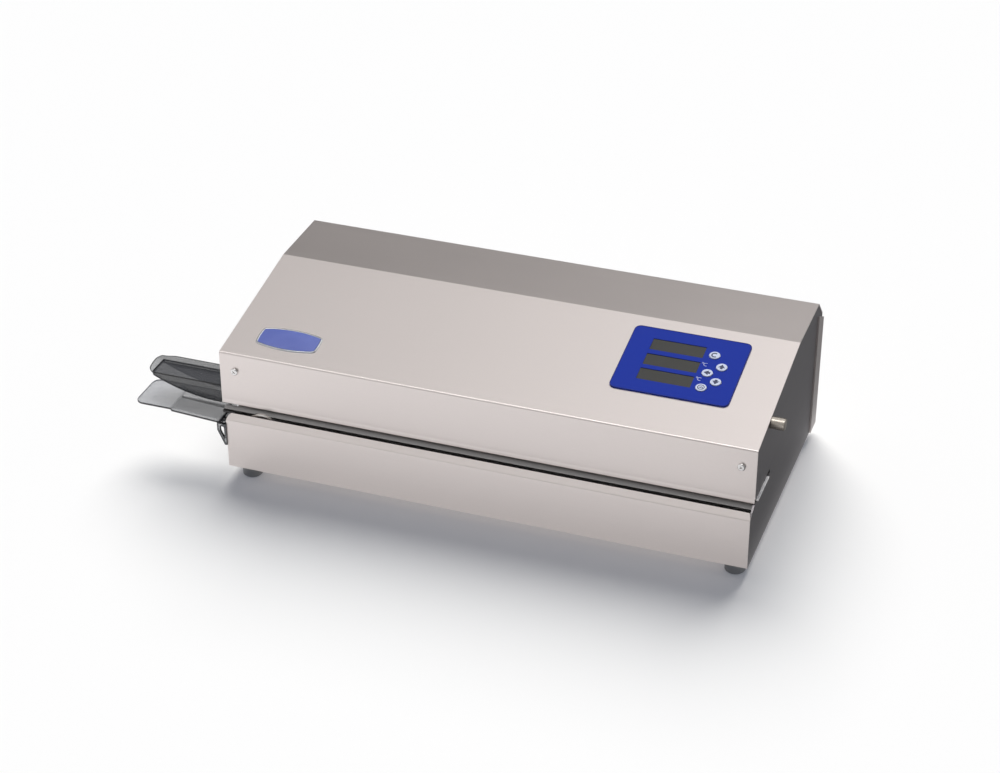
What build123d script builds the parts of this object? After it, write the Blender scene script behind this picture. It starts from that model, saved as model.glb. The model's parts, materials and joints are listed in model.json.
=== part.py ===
from build123d import *
import os
from math import atan2, cos, degrees, hypot, pi, radians, sin, tan

# Continuous heat sealer for pouches: a sheet steel case with a slot along its front. Two belts carry
# the edge of a pouch through the slot, past heated, cooled and pressed stations.
# Machine frame, millimetres: X along the slot, Y towards the back, Z up. x = 0 is the middle of the
# cover, y = 0 its upper front face and z = 0 the lower edge of the case.

# ---- Driving dimensions ---------------------------------------------------------------------------
# Case
body_width = 500.0            # cover, end to end
left_recess = 9.8             # lower case stops short of the cover at the infeed end
sheet = 1.5                   # thickness of all formed sheets
bend_inside = 0.8             # inside radius of a bend
sheet_gap = 0.2               # between two formed sheets that lie on each other
front_bend_z = 112.6          # bend between upper front face and control slope
slot_top_z = 59.0             # lower edge of the upper front face
crest_y = 146.5               # bend between control slope and flat top
top_z = 138.5                 # flat top
ridge_y = 221.0               # bend between flat top and rear chamfer
rear_y = 240.0                # back of the cover and of the side plates
rear_cover_top_z = 114.6      # top edge of the rear cover's back wall
rear_flange_depth = 21.5      # side flanges of the rear cover
rear_flange_top_z = 126.0     # front end of a side flange's sloped top edge
lower_front_y = -14.3         # face of the lower front panel
lower_bend_z = 50.3           # bend below the panel's chamfered band
band_height = 5.2             # chamfered band, 45 degrees
panel_corner_r = 5.0          # rounded upper corners of the lower front panel
flange_width = 12.0           # stiffening flanges of panel and pan
rear_lip = 16.0               # the cover's lip inside the rear cover
past = 1.0                    # a cutter runs past the faces that it cuts by this
vent_width = 4.0
vent_count = 9                # floor vents, in one row under the power supply
vent_length = 34.0
vent_pitch = 14.0
vent_y = 190.0
back_vent_count = 12          # vents in the rear cover
back_vent_length = 46.0
back_vent_pitch = 9.0
back_vent_inset = 130.0       # first back vent from the outfeed end
back_vent_z = 56.0

# Slot
lip_depth = 3.5               # turned-in lip along the cover's lower edge
lip_rise = 0.7
guide_front_y = -2.5          # front edge of the lower guide plate
guide_front_z = 52.0
guide_ramp_y = 1.0            # foot of the ramp
guide_top_y = 10.0            # head of the ramp
guide_top_z = 61.3            # running surface of the guide plate
guide_web_y = 21.5            # back of the guide plate's upright web
outfeed_tab_length = 15.0     # strip that reaches into the right side plate's slit
outfeed_tab_depth = 44.0
lead_end_inset = 1.0          # the lead plate starts this far inside the cover's end
lead_head_y = 4.0             # the lead plate ends on the ramp, before the guard's wall
guide_end_gap = 3.0           # guide and mechanism plates end this far inside the side plates
outfeed_tab_thickness = 2.4
slit_depth_y = 53.0           # both side plates' slits end here
slit_height = 4.4             # outfeed slit
infeed_low_z = 50.2           # infeed notch
infeed_high_z = 66.0

# Feet and fasteners
foot_radius = 9.3
foot_height = 10.0
foot_inset_right = 13.0
foot_inset_left = 18.5        # clears the edge wheel's bracket
foot_inset_front = 11.3
foot_inset_rear = 28.6
foot_boss_r = 4.5
foot_counterbore_r = 4.4
foot_counterbore_z = -5.0     # seat of the screw's head
screw_r = 1.45                # M3 shank
screw_hole_r = 1.65
screw_head_r = 3.6            # washer-faced pan head
screw_head_height = 2.2
screw_spare = 1.5             # thread that stands out of a nut
nut_width = 5.5               # across flats
nut_height = 2.4
front_screw_z = 94.6
front_screw_insets = (14.6, 13.4)   # left, right
front_flange_reach = 6.0      # the side plates' front flanges end this far past their screw
front_flange_half = 9.0       # half their height
rear_screw_inset = 14.0
rear_screw_low_z = 8.5
rear_screw_high_z = 109.0

# Control panel on the slope
panel_inset = 93.1            # centre of the overlay from the outfeed end
panel_s = 90.4                # its distance up the slope from the front bend
panel_width = 108.2
panel_height = 87.8
panel_corner = 6.0
panel_thickness = 1.0
window_shift = -8.95          # windows' centre from the overlay's
window_width = 49.1
window_height = 15.3
window_rows = (21.5, 0.5, -19.8)    # up the slope from the overlay's centre
window_ledge = 1.0            # the cover's cut-out is smaller than its window by this all round
key_radius = 4.95
key_offsets = {"key_clear": (25.1, 20.0), "key_up": (35.3, 5.8), "key_shift": (25.0, -4.7),
               "key_down": (35.3, -14.6), "key_set": (24.9, -24.9)}   # from the overlay's centre
key_travel = 0.4
key_gap = 0.3                 # between a key and the overlay
key_cap_low = 0.6             # underside of a key's cap above the cover's face
key_cap_height = 1.0
key_stem_r = 3.0
key_hole_gap = 0.5            # round a stem in the cover
board_depth = 11.0            # face of the control board below the cover's face
board_thickness = 1.6
board_margin = 2.0            # the board is this much smaller than the overlay at each side
switch_size = 6.0
switch_body = 3.0
switch_button_r = 1.7
switch_button = 0.5           # the button stands above the switch's body
standoff_r = 3.0
standoff_inset = 6.0
chip_size = 14.0
capacitor_r = 4.0
module_inset = 2.0            # a display module is smaller than its window at each end
digit_width = 7.0
digit_height = 10.0
digit_groove = 0.7
badge_inset = 56.1            # centre of the badge from the infeed end
badge_s = 31.0
badge_width = 60.0
badge_height = 29.6
badge_long_bow = 3.9          # each long side of the badge bows out by this
badge_end_bow = 0.8           # and each end by this
badge_thickness = 1.2
badge_corner = 1.4

# Belts, pulleys and gears
nip_z = 62.3                  # plane in which the pouch runs
belt_gap = 0.6                # between the two belts
belt_thickness = 1.7
belt_low_y = 24.0
belt_width = 12.0
pulley_radius = 13.75
pulley_clearance = 0.3        # between pulley and belt
pulley_inset = 38.0           # pulley axes from either end of the cover
pulley_web_recess = 1.0
pulley_rim = 2.5
axial_gap = 0.3               # between a turning piece and what stands beside it
collar_rise = 2.0             # collars on shafts and pins stand proud by this
collar_length = 2.0
shaft_r = 4.0
shaft_running = 0.05          # radial clearance of every running fit
bush_r = 8.0
bush_flange_r = 11.0
bush_front_y = 48.0
plate_y = 60.0                # front of the mechanism plate
plate_thickness = 3.0
plate_top_z = 104.0
gear_y = 68.0
gear_width = 6.0
gear_module = 1.0
gear_teeth = 32
gear_hub = 2.0
tooth_root_share = 0.40       # half a tooth's root as a share of the pitch
tooth_tip_share = 0.12
coupling_length = 18.0
coupling_r = 9.0
coupling_grooves = 4
coupling_groove_width = 0.8
coupling_groove_depth = 3.0
coupling_groove_pitch = 2.2
motor_bracket_y = 96.0
motor_r = 18.5
gearbox_length = 26.0
motor_can_r = 16.5
motor_can_length = 32.0
motor_offset = 7.0            # output shaft above the gearbox's own axis
motor_boss_r = 6.0
motor_bracket_half = 24.0
terminal_length = 5.0
terminal_width = 3.0
terminal_thickness = 0.8

# Stations along the belts
heater_inset = 100.0          # start of the heaters from the infeed end
cooler_inset = 160.0          # end of the coolers from the outfeed end
cooler_length = 70.0
station_gap = 30.0            # between heaters and coolers
block_height = 14.0
block_slots = 7
slot_half = 1.0
block_slot_half_height = 3.0
stud_inset = 15.0             # studs from a block's ends
guide_pin_inset = 25.0        # guide pins from the heater's ends
cartridge_r = 2.5
cartridge_length = 4.0
fin_count = 11
fin_pitch = 6.0
fin_root = 5.0
block_gap = 0.3               # between a block and the back of its belt
heater_lift = 2.0             # travel of the sprung upper heater
beam_low_z = 84.0
beam_height = 5.0
guide_pin_r = 2.0
spring_r = 4.2
spring_wire = 0.9
spring_turns = 2.5
spring_seat = 0.05            # between a spring and its seats
press_inset = 85.0            # press rollers from the outfeed end
press_roller_r = 9.0
arm_reach = 40.0              # pressure arm's pivot from its roller, along X
arm_pivot_z = 85.0
arm_y = 41.0
arm_thickness = 5.0
arm_lift = 1.2                # degrees that the pressure arm can lift
pin_r = 3.0
arm_hub = 7.0
arm_tail = 8.0                # depth of the arm's tail
cam_inset = 36.0              # cam from the outfeed end
cam_width = 6.0
cam_r = 3.3
cam_throw = 0.7
spindle_r = 2.5
collar_r = 4.0
leaf_thickness = 1.0
leaf_gap = 2.8                # between the cam at rest and the arm's leaf
leaf_rise = 5.5               # the leaf stands above the arm's tail

# Pressure knob in the right side plate
knob_y = 46.0
knob_z = 114.7
knob_r = 5.5
knob_length = 12.2
knob_gap = 0.4
knob_bevel = 0.8

# Edge wheel behind the lower panel
edge_wheel_inset = 42.0       # from the infeed end
edge_wheel_z = 41.1
edge_wheel_r = 17.0
edge_wheel_rim = 1.4
edge_wheel_y = -7.2
edge_wheel_width = 2.4
edge_wheel_web = 0.8          # thickness of its web and depth of each recess

# Infeed guard and tray
guard_front_y = 3.0
guard_depth = 25.0
guard_top_z = 75.4
guard_reach = 72.0            # its nose beyond the cover's end
guard_belly = 44.0            # its walls' lower edge curves most this far out
guard_belly_rise = 0.34       # and has risen by this share of the skirt there
guard_skirt = 18.7            # height of its walls beside the cover
guard_wall = 1.8
guard_upstand = 5.8
guard_flange = 2.0            # mounting flange on the left side plate
guard_flange_height = 16.0
guard_screw_rise = 9.0
bracket_flange = 2.0
bracket_height = 22.0
bracket_reach = 9.0           # from the side plate to its outer edge
bracket_gusset = 3.0
bracket_gusset_step = 10.0    # from its front gusset to the next
bracket_screw_drop = 20.0
bracket_screw_y = (2.5, 12.0)
guard_flare = 6.0             # the upstand leans out this far at the nose
tray_reach = 82.0             # its end beyond the cover's end
tray_front_y = -16.0
tray_back_y = 28.0
tray_top_z = 52.6
tray_thickness = 1.8
tray_corner = 8.0
tray_step_reach = 45.0        # the pocket starts this far beyond the cover's end
tray_step_y = 7.2             # back of the pocket
tray_step = 1.7               # depth of the pocket at its outer end
tray_fall = 3.2               # further depth its floor reaches at the side plate

# Rear services
fan_size = 60.0
fan_depth = 15.0
fan_inset = 210.0             # fan's axis from the outfeed end
fan_z = 62.0
fan_screw_pitch = 50.0
fan_wall = 1.5
fan_hub_r = 12.0
fan_pin_r = 1.5
fan_blades = 7
fan_blade_pitch = 38.0        # degrees
grille_radii = (7.0, 14.0, 21.0, 28.0)
grille_wire = 1.8
inlet_inset = 60.0            # inlet's axis from the infeed end
inlet_z = 38.0
inlet_width = 27.5
inlet_height = 20.0
inlet_flange = 3.0
inlet_screw_spread = 40.0
inlet_depth = 20.0
socket_width = 24.0
socket_height = 15.6
socket_bevel = 4.3
socket_depth = 13.0
inlet_pins = ((-7.0, -2.0), (7.0, -2.0), (0.0, 2.0))   # line, neutral and earth from its axis
pin_half_width = 1.0
pin_half_height = 2.0
pin_recess = 2.0              # pins end this far behind the wall's face
cutout_gap = 0.2              # round the inlet and the switch in the wall
eye_height = 1.9              # eyes and spokes of the fan guard
rocker_inset = 110.0          # switch's axis from the infeed end
rocker_width = 12.5
rocker_height = 19.0
rocker_tilt = 9.0
rocker_pin_r = 1.0
rocker_gap = 1.0              # between the rocker and its housing
rocker_depth = 2.0            # the rocker's pin below the wall's face
rocker_face = 2.9             # the rocker's face in front of its pin
housing_wall = 1.2
housing_depth = 16.0
bezel_rim = 1.5
bezel_height = 1.8
supply_size = (130.0, 70.0, 32.0)
supply_inset = 130.0          # power supply's centre from the infeed end
supply_y = 150.0
supply_rise = 6.0             # its board above the pan

# ---- Places that follow from them -----------------------------------------------------------------
right_x = body_width / 2
cover_left_x = -right_x
left_x = cover_left_x + left_recess
slope_angle = degrees(atan2(top_z - front_bend_z, crest_y))
slope = Plane(origin=(0, 0, front_bend_z), x_dir=(1, 0, 0),
              z_dir=(0, -sin(radians(slope_angle)), cos(radians(slope_angle))))
chamfer_foot_z = top_z - (rear_y - ridge_y)
skin = sheet + sheet_gap
pan_low_z = sheet + sheet_gap
pan_top_z = pan_low_z + sheet
inner_left = left_x + sheet
inner_right = right_x - sheet
panel_x = right_x - panel_inset
window_x = panel_x + window_shift
window_s = [panel_s + row for row in window_rows]
key_places = {name: (panel_x + dx, panel_s + ds) for name, (dx, ds) in key_offsets.items()}
badge_x = cover_left_x + badge_inset
pulley_x = right_x - pulley_inset    # drive pulleys at +x, infeed pulleys at -x
cooler_x = (right_x - cooler_inset - cooler_length, right_x - cooler_inset)
heater_x = (cover_left_x + heater_inset, cooler_x[0] - station_gap)
press_x = right_x - press_inset
arm_pivot = (press_x - arm_reach, arm_pivot_z)
cam_x = right_x - cam_inset
edge_wheel_x = cover_left_x + edge_wheel_inset
guard_end_x = cover_left_x - guard_reach
tray_end_x = cover_left_x - tray_reach
tray_step_x = cover_left_x - tray_step_reach
fan_x = right_x - fan_inset
inlet_x = cover_left_x + inlet_inset
rocker_x = cover_left_x + rocker_inset
back_vent_x = right_x - back_vent_inset
supply_centre = (cover_left_x + supply_inset, supply_y)
outer_rear = rear_y + sheet
rocker_axis_y = outer_rear - rocker_depth
belt_inner_r = pulley_radius + pulley_clearance
belt_outer_r = belt_inner_r + belt_thickness
lower_axis_z = nip_z - belt_gap / 2 - belt_outer_r
upper_axis_z = nip_z + belt_gap / 2 + belt_outer_r
lower_block_z = nip_z - belt_gap / 2 - belt_thickness - block_gap
upper_block_z = nip_z + belt_gap / 2 + belt_thickness + block_gap
lower_roller_z = lower_block_z - press_roller_r
upper_roller_z = upper_block_z + press_roller_r
belt_y = belt_low_y + belt_width / 2
belt_high_y = belt_low_y + belt_width
plate_back_y = plate_y + plate_thickness
slit_low_z = guide_top_z - outfeed_tab_thickness - 0.3


# ---- Helpers --------------------------------------------------------------------------------------
def block(x, y, z):
    """A box from three (low, high) pairs."""
    size = [side[1] - side[0] for side in (x, y, z)]
    middle = [(side[0] + side[1]) / 2 for side in (x, y, z)]
    return Pos(*middle) * Box(*size)


def rod_x(x, y, z, radius):
    """A round bar along X from x[0] to x[1]."""
    return Pos((x[0] + x[1]) / 2, y, z) * Rot(0, 90, 0) * Cylinder(radius, x[1] - x[0])


def rod_y(x, y, z, radius):
    """A round bar along Y from y[0] to y[1]."""
    return Pos(x, (y[0] + y[1]) / 2, z) * Rot(90, 0, 0) * Cylinder(radius, y[1] - y[0])


def rod_z(x, y, z, radius):
    """A round bar along Z from z[0] to z[1]."""
    return Pos(x, y, (z[0] + z[1]) / 2) * Cylinder(radius, z[1] - z[0])


def shifted_line(points, distance):
    """The points of an open line moved to its left by a distance, mitred at its corners."""
    moved = []
    for i, point in enumerate(points):
        ahead = points[min(i + 1, len(points) - 1)]
        behind = points[max(i - 1, 0)]
        normals = []
        for start, end in ((behind, point), (point, ahead)):
            length = hypot(end[0] - start[0], end[1] - start[1])
            if length:
                normals.append((-(end[1] - start[1]) / length, (end[0] - start[0]) / length))
        first, last = normals[0], normals[-1]
        reach = distance / (1 + first[0] * last[0] + first[1] * last[1])
        moved.append((point[0] + reach * (first[0] + last[0]), point[1] + reach * (first[1] + last[1])))
    return moved


def turn(points, i):
    """Positive where an open line turns left at its point i."""
    (ax, ay), (bx, by), (cx, cy) = points[i - 1], points[i], points[i + 1]
    return (bx - ax) * (cy - by) - (by - ay) * (cx - bx)


def bent_sheet(outer, x, thickness=sheet, side=1):
    """A sheet folded along a line of (y, z) points, which is its outer face, with rounded bends."""
    inner = shifted_line(outer, side * thickness)
    face = make_face(Polyline(*outer, *reversed(inner), close=True))
    for i in range(1, len(outer) - 1):
        outside = turn(outer, i) * side > 0
        radii = (bend_inside + thickness, bend_inside) if outside else (bend_inside, bend_inside + thickness)
        for corner, radius in zip((outer[i], inner[i]), radii):
            nearest = face.vertices().sort_by_distance((*corner, 0))[0]
            face = fillet(nearest, radius)
    return extrude(Plane.YZ.offset(x[0]) * face, amount=x[1] - x[0])


def plate_yz(points, x):
    """A flat plate with a (y, z) outline, from x[0] to x[1]."""
    face = make_face(Polyline(*points, close=True))
    return extrude(Plane.YZ.offset(x[0]) * face, amount=x[1] - x[0])


def plate_xz(face, y):
    """A flat plate with an (x, z) face, from y[0] to y[1]."""
    placed = Plane(origin=(0, y[1], 0), x_dir=(1, 0, 0), z_dir=(0, -1, 0)) * face
    return extrude(placed, amount=y[1] - y[0])


def on_slope(x, s, low, high, sketch):
    """A sketch raised from low to high above the control slope."""
    return extrude(slope * Pos(x, s, low) * sketch, amount=high - low)


def screw(place, direction, length):
    """A pan head machine screw whose head seats at place and whose shank points in direction."""
    seat = Plane(origin=place, z_dir=direction)
    shank = Pos(0, 0, length / 2) * Cylinder(screw_r, length)
    head = Pos(0, 0, -screw_head_height / 2) * Cylinder(screw_head_r, screw_head_height)
    head = fillet(head.edges().group_by(Axis.Z)[0], 1.2)
    recess = Rot(0, 0, 45) * (Box(3.2, 0.8, 2.4) + Box(0.8, 3.2, 2.4))
    return seat * (shank + head - Pos(0, 0, -screw_head_height) * recess)


def nut(place, direction, depth):
    """A hexagon nut on the screw of the same seat, its near face at depth below the seat."""
    seat = Plane(origin=place, z_dir=direction)
    ring = extrude(RegularPolygon(nut_width / 2, 6, major_radius=False), amount=nut_height)
    return seat * Pos(0, 0, depth) * (ring - Cylinder(screw_r + shaft_running, 3 * nut_height))


# ---- Case -----------------------------------------------------------------------------------------
def cover_profile():
    """Outer face of the cover, from its turned-in lip over the top to its lip inside the rear cover."""
    return [(lip_depth, slot_top_z + lip_rise), (0, slot_top_z), (0, front_bend_z), (crest_y, top_z),
            (ridge_y, top_z), (rear_y, chamfer_foot_z), (rear_y, chamfer_foot_z - rear_lip)]


def front_screw_seats():
    """Where the two front screws seat on the cover."""
    left, right = front_screw_insets
    return [(cover_left_x + left, 0, front_screw_z), (right_x - right, 0, front_screw_z)]


def rear_cover_seats(z):
    """Where one row of the rear cover's screws seats."""
    return [(x, outer_rear, z) for x in (left_x + rear_screw_inset, 0, right_x - rear_screw_inset)]


def top_cover():
    """The stainless cover: upper front face, control slope, flat top and rear chamfer."""
    shell = bent_sheet(cover_profile(), (cover_left_x, right_x), side=-1)
    for x, y, z in front_screw_seats():
        shell -= rod_y(x, (-past, 2 * sheet), z, screw_hole_r)
    for x, s in key_places.values():
        shell -= on_slope(x, s, -2 * sheet, sheet, Circle(key_stem_r + key_hole_gap))
    for s in window_s:
        cut_out = Rectangle(window_width - 2 * window_ledge, window_height - 2 * window_ledge)
        shell -= on_slope(window_x, s, -2 * sheet, sheet, cut_out)
    for x, y, z in rear_cover_seats(rear_screw_high_z):
        shell -= rod_y(x, (rear_y - 2 * sheet, rear_y + past), z, screw_hole_r)
    for x in ((cover_left_x - past, inner_left + sheet_gap), (inner_right - sheet_gap, right_x + past)):
        shell -= block(x, (sheet, lip_depth + 2 * sheet), (slot_top_z - past, slot_top_z + lip_rise + 2 * sheet))
    overhang = (cover_left_x - past, left_x + sheet_gap)
    return shell - block(overhang, (rear_y - 2 * sheet, rear_y + past), (0, chamfer_foot_z - skin))


def front_profile():
    """Outer face of the lower front panel, from its bottom flange to the top of its band."""
    return [(lower_front_y + flange_width, 0), (lower_front_y, 0), (lower_front_y, lower_bend_z),
            (lower_front_y + band_height, lower_bend_z + band_height)]


def front_panel():
    """The lower front panel, with its chamfered band, rounded upper corners and bottom flange."""
    panel = bent_sheet(front_profile(), (left_x, right_x), side=-1)
    for x in ((left_x - past, inner_left + sheet_gap), (inner_right - sheet_gap, right_x + past)):
        panel -= block(x, (lower_front_y + sheet, lower_front_y + 2 * flange_width), (-past, 2 * sheet))
    width = right_x - left_x
    height = lower_bend_z + band_height
    outline = Pos((left_x + right_x) / 2, height / 2 - panel_corner_r) * RectangleRounded(
        width, height + 2 * panel_corner_r, panel_corner_r)
    panel &= plate_xz(outline, (lower_front_y - past, lower_front_y + 2 * flange_width))
    for x, y in foot_places():
        panel -= rod_z(x, y, (-past, 2 * sheet), foot_boss_r + sheet_gap)
    return panel


def side_outline():
    """Outline of a side plate: the cover's inner profile above, the lower panel's below."""
    upper = shifted_line(cover_profile(), -skin)[2:6]
    lower = shifted_line(front_profile(), -skin)[2:]
    return [(lower[0][0], 0)] + lower + [(skin, slot_top_z)] + upper + [(rear_y - skin, 0)]


def side_plate(x, notch, sign):
    """A side plate with its pouch slit and the front flange that takes a cover screw."""
    plate = plate_yz(side_outline(), x)
    plate -= block((x[0] - past, x[1] + past), (lower_front_y - past, slit_depth_y), notch)
    inside = x[0] if sign > 0 else x[1]
    seat_x = front_screw_seats()[sign > 0][0]
    tip = seat_x - sign * front_flange_reach
    flange = block(sorted((inside, tip)), (skin, skin + sheet),
                   (front_screw_z - front_flange_half, front_screw_z + front_flange_half))
    flange -= rod_y(seat_x, (0, 3 * skin), front_screw_z, screw_hole_r)
    return plate + flange


def right_side_plate():
    """The plate at the outfeed end, with the knob's hole."""
    notch = (slit_low_z, slit_low_z + slit_height)
    plate = side_plate((inner_right, right_x), notch, 1)
    return plate - rod_x((inner_right - past, right_x + past), knob_y, knob_z, spindle_r + shaft_running)


def left_side_plate():
    """The plate at the infeed end, set in under the cover's end."""
    plate = side_plate((left_x, inner_left), (infeed_low_z, infeed_high_z), -1)
    for y, z in guard_screw_places() + tray_screw_places():
        plate -= rod_x((left_x - past, inner_left + past), y, z, screw_hole_r)
    return plate


def spread(middle, pitch, count):
    """Places of a row of equal features about a middle."""
    return [middle + (i - (count - 1) / 2) * pitch for i in range(count)]


def base_pan():
    """The bottom pan, turned up at both sides and at the back."""
    x = (inner_left + sheet_gap, inner_right - sheet_gap)
    y = (lower_front_y + skin + bend_inside, rear_y - skin)
    wall_top = pan_low_z + flange_width + sheet
    pan = block(x, y, (pan_low_z, wall_top))
    pan = fillet(pan.edges().filter_by(Axis.Y).group_by(Axis.Z)[0], bend_inside + sheet)
    inside = block((x[0] + sheet, x[1] - sheet), (y[0] - past, y[1] - sheet), (pan_top_z, wall_top + past))
    pan -= fillet(inside.edges().filter_by(Axis.Y).group_by(Axis.Z)[0], bend_inside)
    for x, y in foot_places():
        pan -= rod_z(x, y, (0, 2 * pan_top_z), screw_hole_r)
    for x in spread((inner_left + inner_right) / 2, vent_pitch, vent_count):
        vent = extrude(SlotOverall(vent_length, vent_width, rotation=90), 2 * sheet)
        pan -= Pos(x, vent_y, pan_low_z - sheet / 2) * vent
    for x, y, z in rear_cover_seats(rear_screw_low_z):
        pan -= rod_y(x, (rear_y - 4 * sheet, rear_y), z, screw_hole_r)
    return pan


def rear_cover():
    """The back wall with side flanges outside the side plates, and its openings."""
    wall = block((left_x - sheet, right_x + sheet), (rear_y, outer_rear), (0, rear_cover_top_z))
    outline = [(outer_rear - rear_flange_depth, 0), (outer_rear, 0), (outer_rear, rear_cover_top_z),
               (outer_rear - rear_flange_depth, rear_flange_top_z)]
    for x in ((left_x - sheet, left_x), (right_x, right_x + sheet)):
        wall += plate_yz(outline, x)
    wall = fillet(wall.edges().filter_by(Axis.Z).group_by(Axis.Y)[-1], bend_inside)
    cut = (rear_y - past, outer_rear + past)
    wall -= rod_y(fan_x, cut, fan_z, fan_size / 2 - 2 * fan_wall)
    for x, z in fan_screw_places():
        wall -= rod_y(x, cut, z, screw_hole_r)
    for x, width, height in ((inlet_x, inlet_width, inlet_height), (rocker_x, rocker_width, rocker_height)):
        opening = Rectangle(width + 2 * cutout_gap, height + 2 * cutout_gap)
        wall -= plate_xz(Pos(x, inlet_z) * opening, cut)
    for x in inlet_screw_xs():
        wall -= rod_y(x, cut, inlet_z, screw_hole_r)
    for i in range(back_vent_count):
        vent = SlotOverall(back_vent_length, vent_width, rotation=90)
        wall -= plate_xz(Pos(back_vent_x + i * back_vent_pitch, back_vent_z) * vent, cut)
    for x, y, z in rear_cover_seats(rear_screw_low_z) + rear_cover_seats(rear_screw_high_z):
        wall -= rod_y(x, cut, z, screw_hole_r)
    return wall


def case_screws():
    """Every pan head screw of the case, its guard, bracket, inlet and fan, each with its nut."""
    forward, back, right = (0, -1, 0), (0, 1, 0), (1, 0, 0)
    inlet_seats = [(x, outer_rear + inlet_flange, inlet_z) for x in inlet_screw_xs()]
    fan_seats = [(x, outer_rear + eye_height, z) for x, z in fan_screw_places()]
    guard_seats = [(left_x - guard_flange, y, z) for y, z in guard_screw_places()]
    tray_seats = [(left_x - bracket_flange, y, z) for y, z in tray_screw_places()]
    rows = [(front_screw_seats(), back, skin + sheet),
            (rear_cover_seats(rear_screw_low_z), forward, 2 * sheet + skin),
            (rear_cover_seats(rear_screw_high_z), forward, 2 * sheet),
            (inlet_seats, forward, inlet_flange + sheet),
            (fan_seats, forward, eye_height + sheet + fan_depth),
            (guard_seats, right, guard_flange + sheet), (tray_seats, right, bracket_flange + sheet)]
    group = []
    for seats, way, grip in rows:
        for place in seats:
            group += [screw(place, way, grip + nut_height + screw_spare), nut(place, way, grip)]
    return group


def foot_places():
    """Centres of the four feet."""
    xs = (left_x + foot_inset_left, right_x - foot_inset_right)
    return [(x, y) for x in xs for y in (lower_front_y + foot_inset_front, rear_y - foot_inset_rear)]


def feet():
    """Four rubber feet, each with a boss that reaches up to the pan."""
    group = []
    for x, y in foot_places():
        foot = rod_z(x, y, (-foot_height, 0), foot_radius)
        foot = chamfer(foot.edges().group_by(Axis.Z)[0], 1.5)
        foot += rod_z(x, y, (0, pan_low_z), foot_boss_r)
        foot -= rod_z(x, y, (-foot_height - past, foot_counterbore_z), foot_counterbore_r)
        foot -= rod_z(x, y, (-foot_height, 2 * pan_top_z), screw_hole_r)
        group.append(foot)
    return group


def foot_screws():
    """The screws that clamp the feet, heads sunk in the rubber and nuts in the pan."""
    group = []
    for x, y in foot_places():
        place, grip = (x, y, foot_counterbore_z), pan_top_z - foot_counterbore_z
        group += [screw(place, (0, 0, 1), grip + nut_height + screw_spare), nut(place, (0, 0, 1), grip)]
    return group


# ---- Control panel --------------------------------------------------------------------------------
def badge_plate():
    """A blank plate with bowed sides on the slope."""
    half_w, half_h = badge_width / 2, badge_height / 2
    corner_w, corner_h = half_w - badge_end_bow, half_h - badge_long_bow
    corners = [(-corner_w, -corner_h), (corner_w, -corner_h), (corner_w, corner_h), (-corner_w, corner_h)]
    bows = [(0, -half_h), (half_w, 0), (0, half_h), (-half_w, 0)]
    arcs = [ThreePointArc(corners[i], bows[i], corners[(i + 1) % 4]) for i in range(4)]
    outline = make_face(arcs)
    outline = fillet(outline.vertices(), badge_corner)
    return on_slope(badge_x, badge_s, 0, badge_thickness, outline)


def panel_overlay():
    """The membrane overlay, with three display windows and a hole for each key."""
    overlay = on_slope(panel_x, panel_s, 0, panel_thickness,
                       RectangleRounded(panel_width, panel_height, panel_corner))
    for s in window_s:
        overlay -= on_slope(window_x, s, -past, 2 * panel_thickness, Rectangle(window_width, window_height))
    for x, s in key_places.values():
        overlay -= on_slope(x, s, -past, 2 * panel_thickness, Circle(key_radius + key_gap))
    return overlay


def display_windows():
    """Smoked windows, let into the overlay over the cut-outs in the cover."""
    return [on_slope(window_x, s, 0, 0.6 * panel_thickness, Rectangle(window_width, window_height))
            for s in window_s]


def display_modules():
    """The three numeric displays that stand on the control board below the windows."""
    modules = []
    for s in window_s:
        width, height = window_width - 2 * module_inset, window_height - 1.5 * module_inset
        face = -sheet - module_inset / 2
        body = on_slope(window_x, s, -board_depth, face, Rectangle(width, height))
        inside = Rectangle(digit_width - 2 * digit_groove, digit_height - 2 * digit_groove)
        for x in spread(window_x, width / 4, 4):
            body -= on_slope(x, s, face - digit_groove / 2, 0, Rectangle(digit_width, digit_height) - inside)
        modules.append(body)
    return modules


def key(name):
    """A key: a round cap over the cover and a stem that reaches down to its switch."""
    x, s = key_places[name]
    cap = on_slope(x, s, key_cap_low, key_cap_low + key_cap_height, Circle(key_radius))
    cap = fillet(cap.edges().sort_by(Axis(slope.origin, slope.z_dir))[-1], key_cap_height / 2.5)
    return cap + on_slope(x, s, -board_depth + switch_height(), key_cap_low, Circle(key_stem_r))


def switch_height():
    """Space for a switch and its travel between the board and a key's stem."""
    return switch_body + switch_button + key_travel + key_gap


def control_board():
    """The circuit board under the slope, with the key switches and a few components."""
    width, height = panel_width - 2 * board_margin, panel_height - 3 * board_margin
    face, under = -board_depth, -board_depth - board_thickness
    board = on_slope(panel_x, panel_s, under, face, Rectangle(width, height))
    for x, s in standoff_places():
        board -= on_slope(x, s, -2 * board_depth, 0, Circle(screw_hole_r))
    for x, s in key_places.values():
        board += on_slope(x, s, face, face + switch_body, Rectangle(switch_size, switch_size))
        board += on_slope(x, s, face, face + switch_body + switch_button, Circle(switch_button_r))
    chip = Rectangle(chip_size, chip_size)
    board += on_slope(panel_x - chip_size, panel_s, under - board_thickness, under, chip)
    terminals = Rectangle(chip_size, chip_size / 2)
    board += on_slope(panel_x - width / 3, panel_s - height / 4, under - chip_size / 2, under, terminals)
    for x in spread(panel_x + width / 4, 3 * capacitor_r, 3):
        board += on_slope(x, panel_s + height / 3, under - 2 * capacitor_r, under, Circle(capacitor_r))
    return board


def standoff_places():
    """Corners of the board, as (x, s)."""
    dx, ds = panel_width / 2 - standoff_inset, panel_height / 2 - standoff_inset - past
    return [(panel_x + i * dx, panel_s + j * ds) for i in (-1, 1) for j in (-1, 1)]


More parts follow.
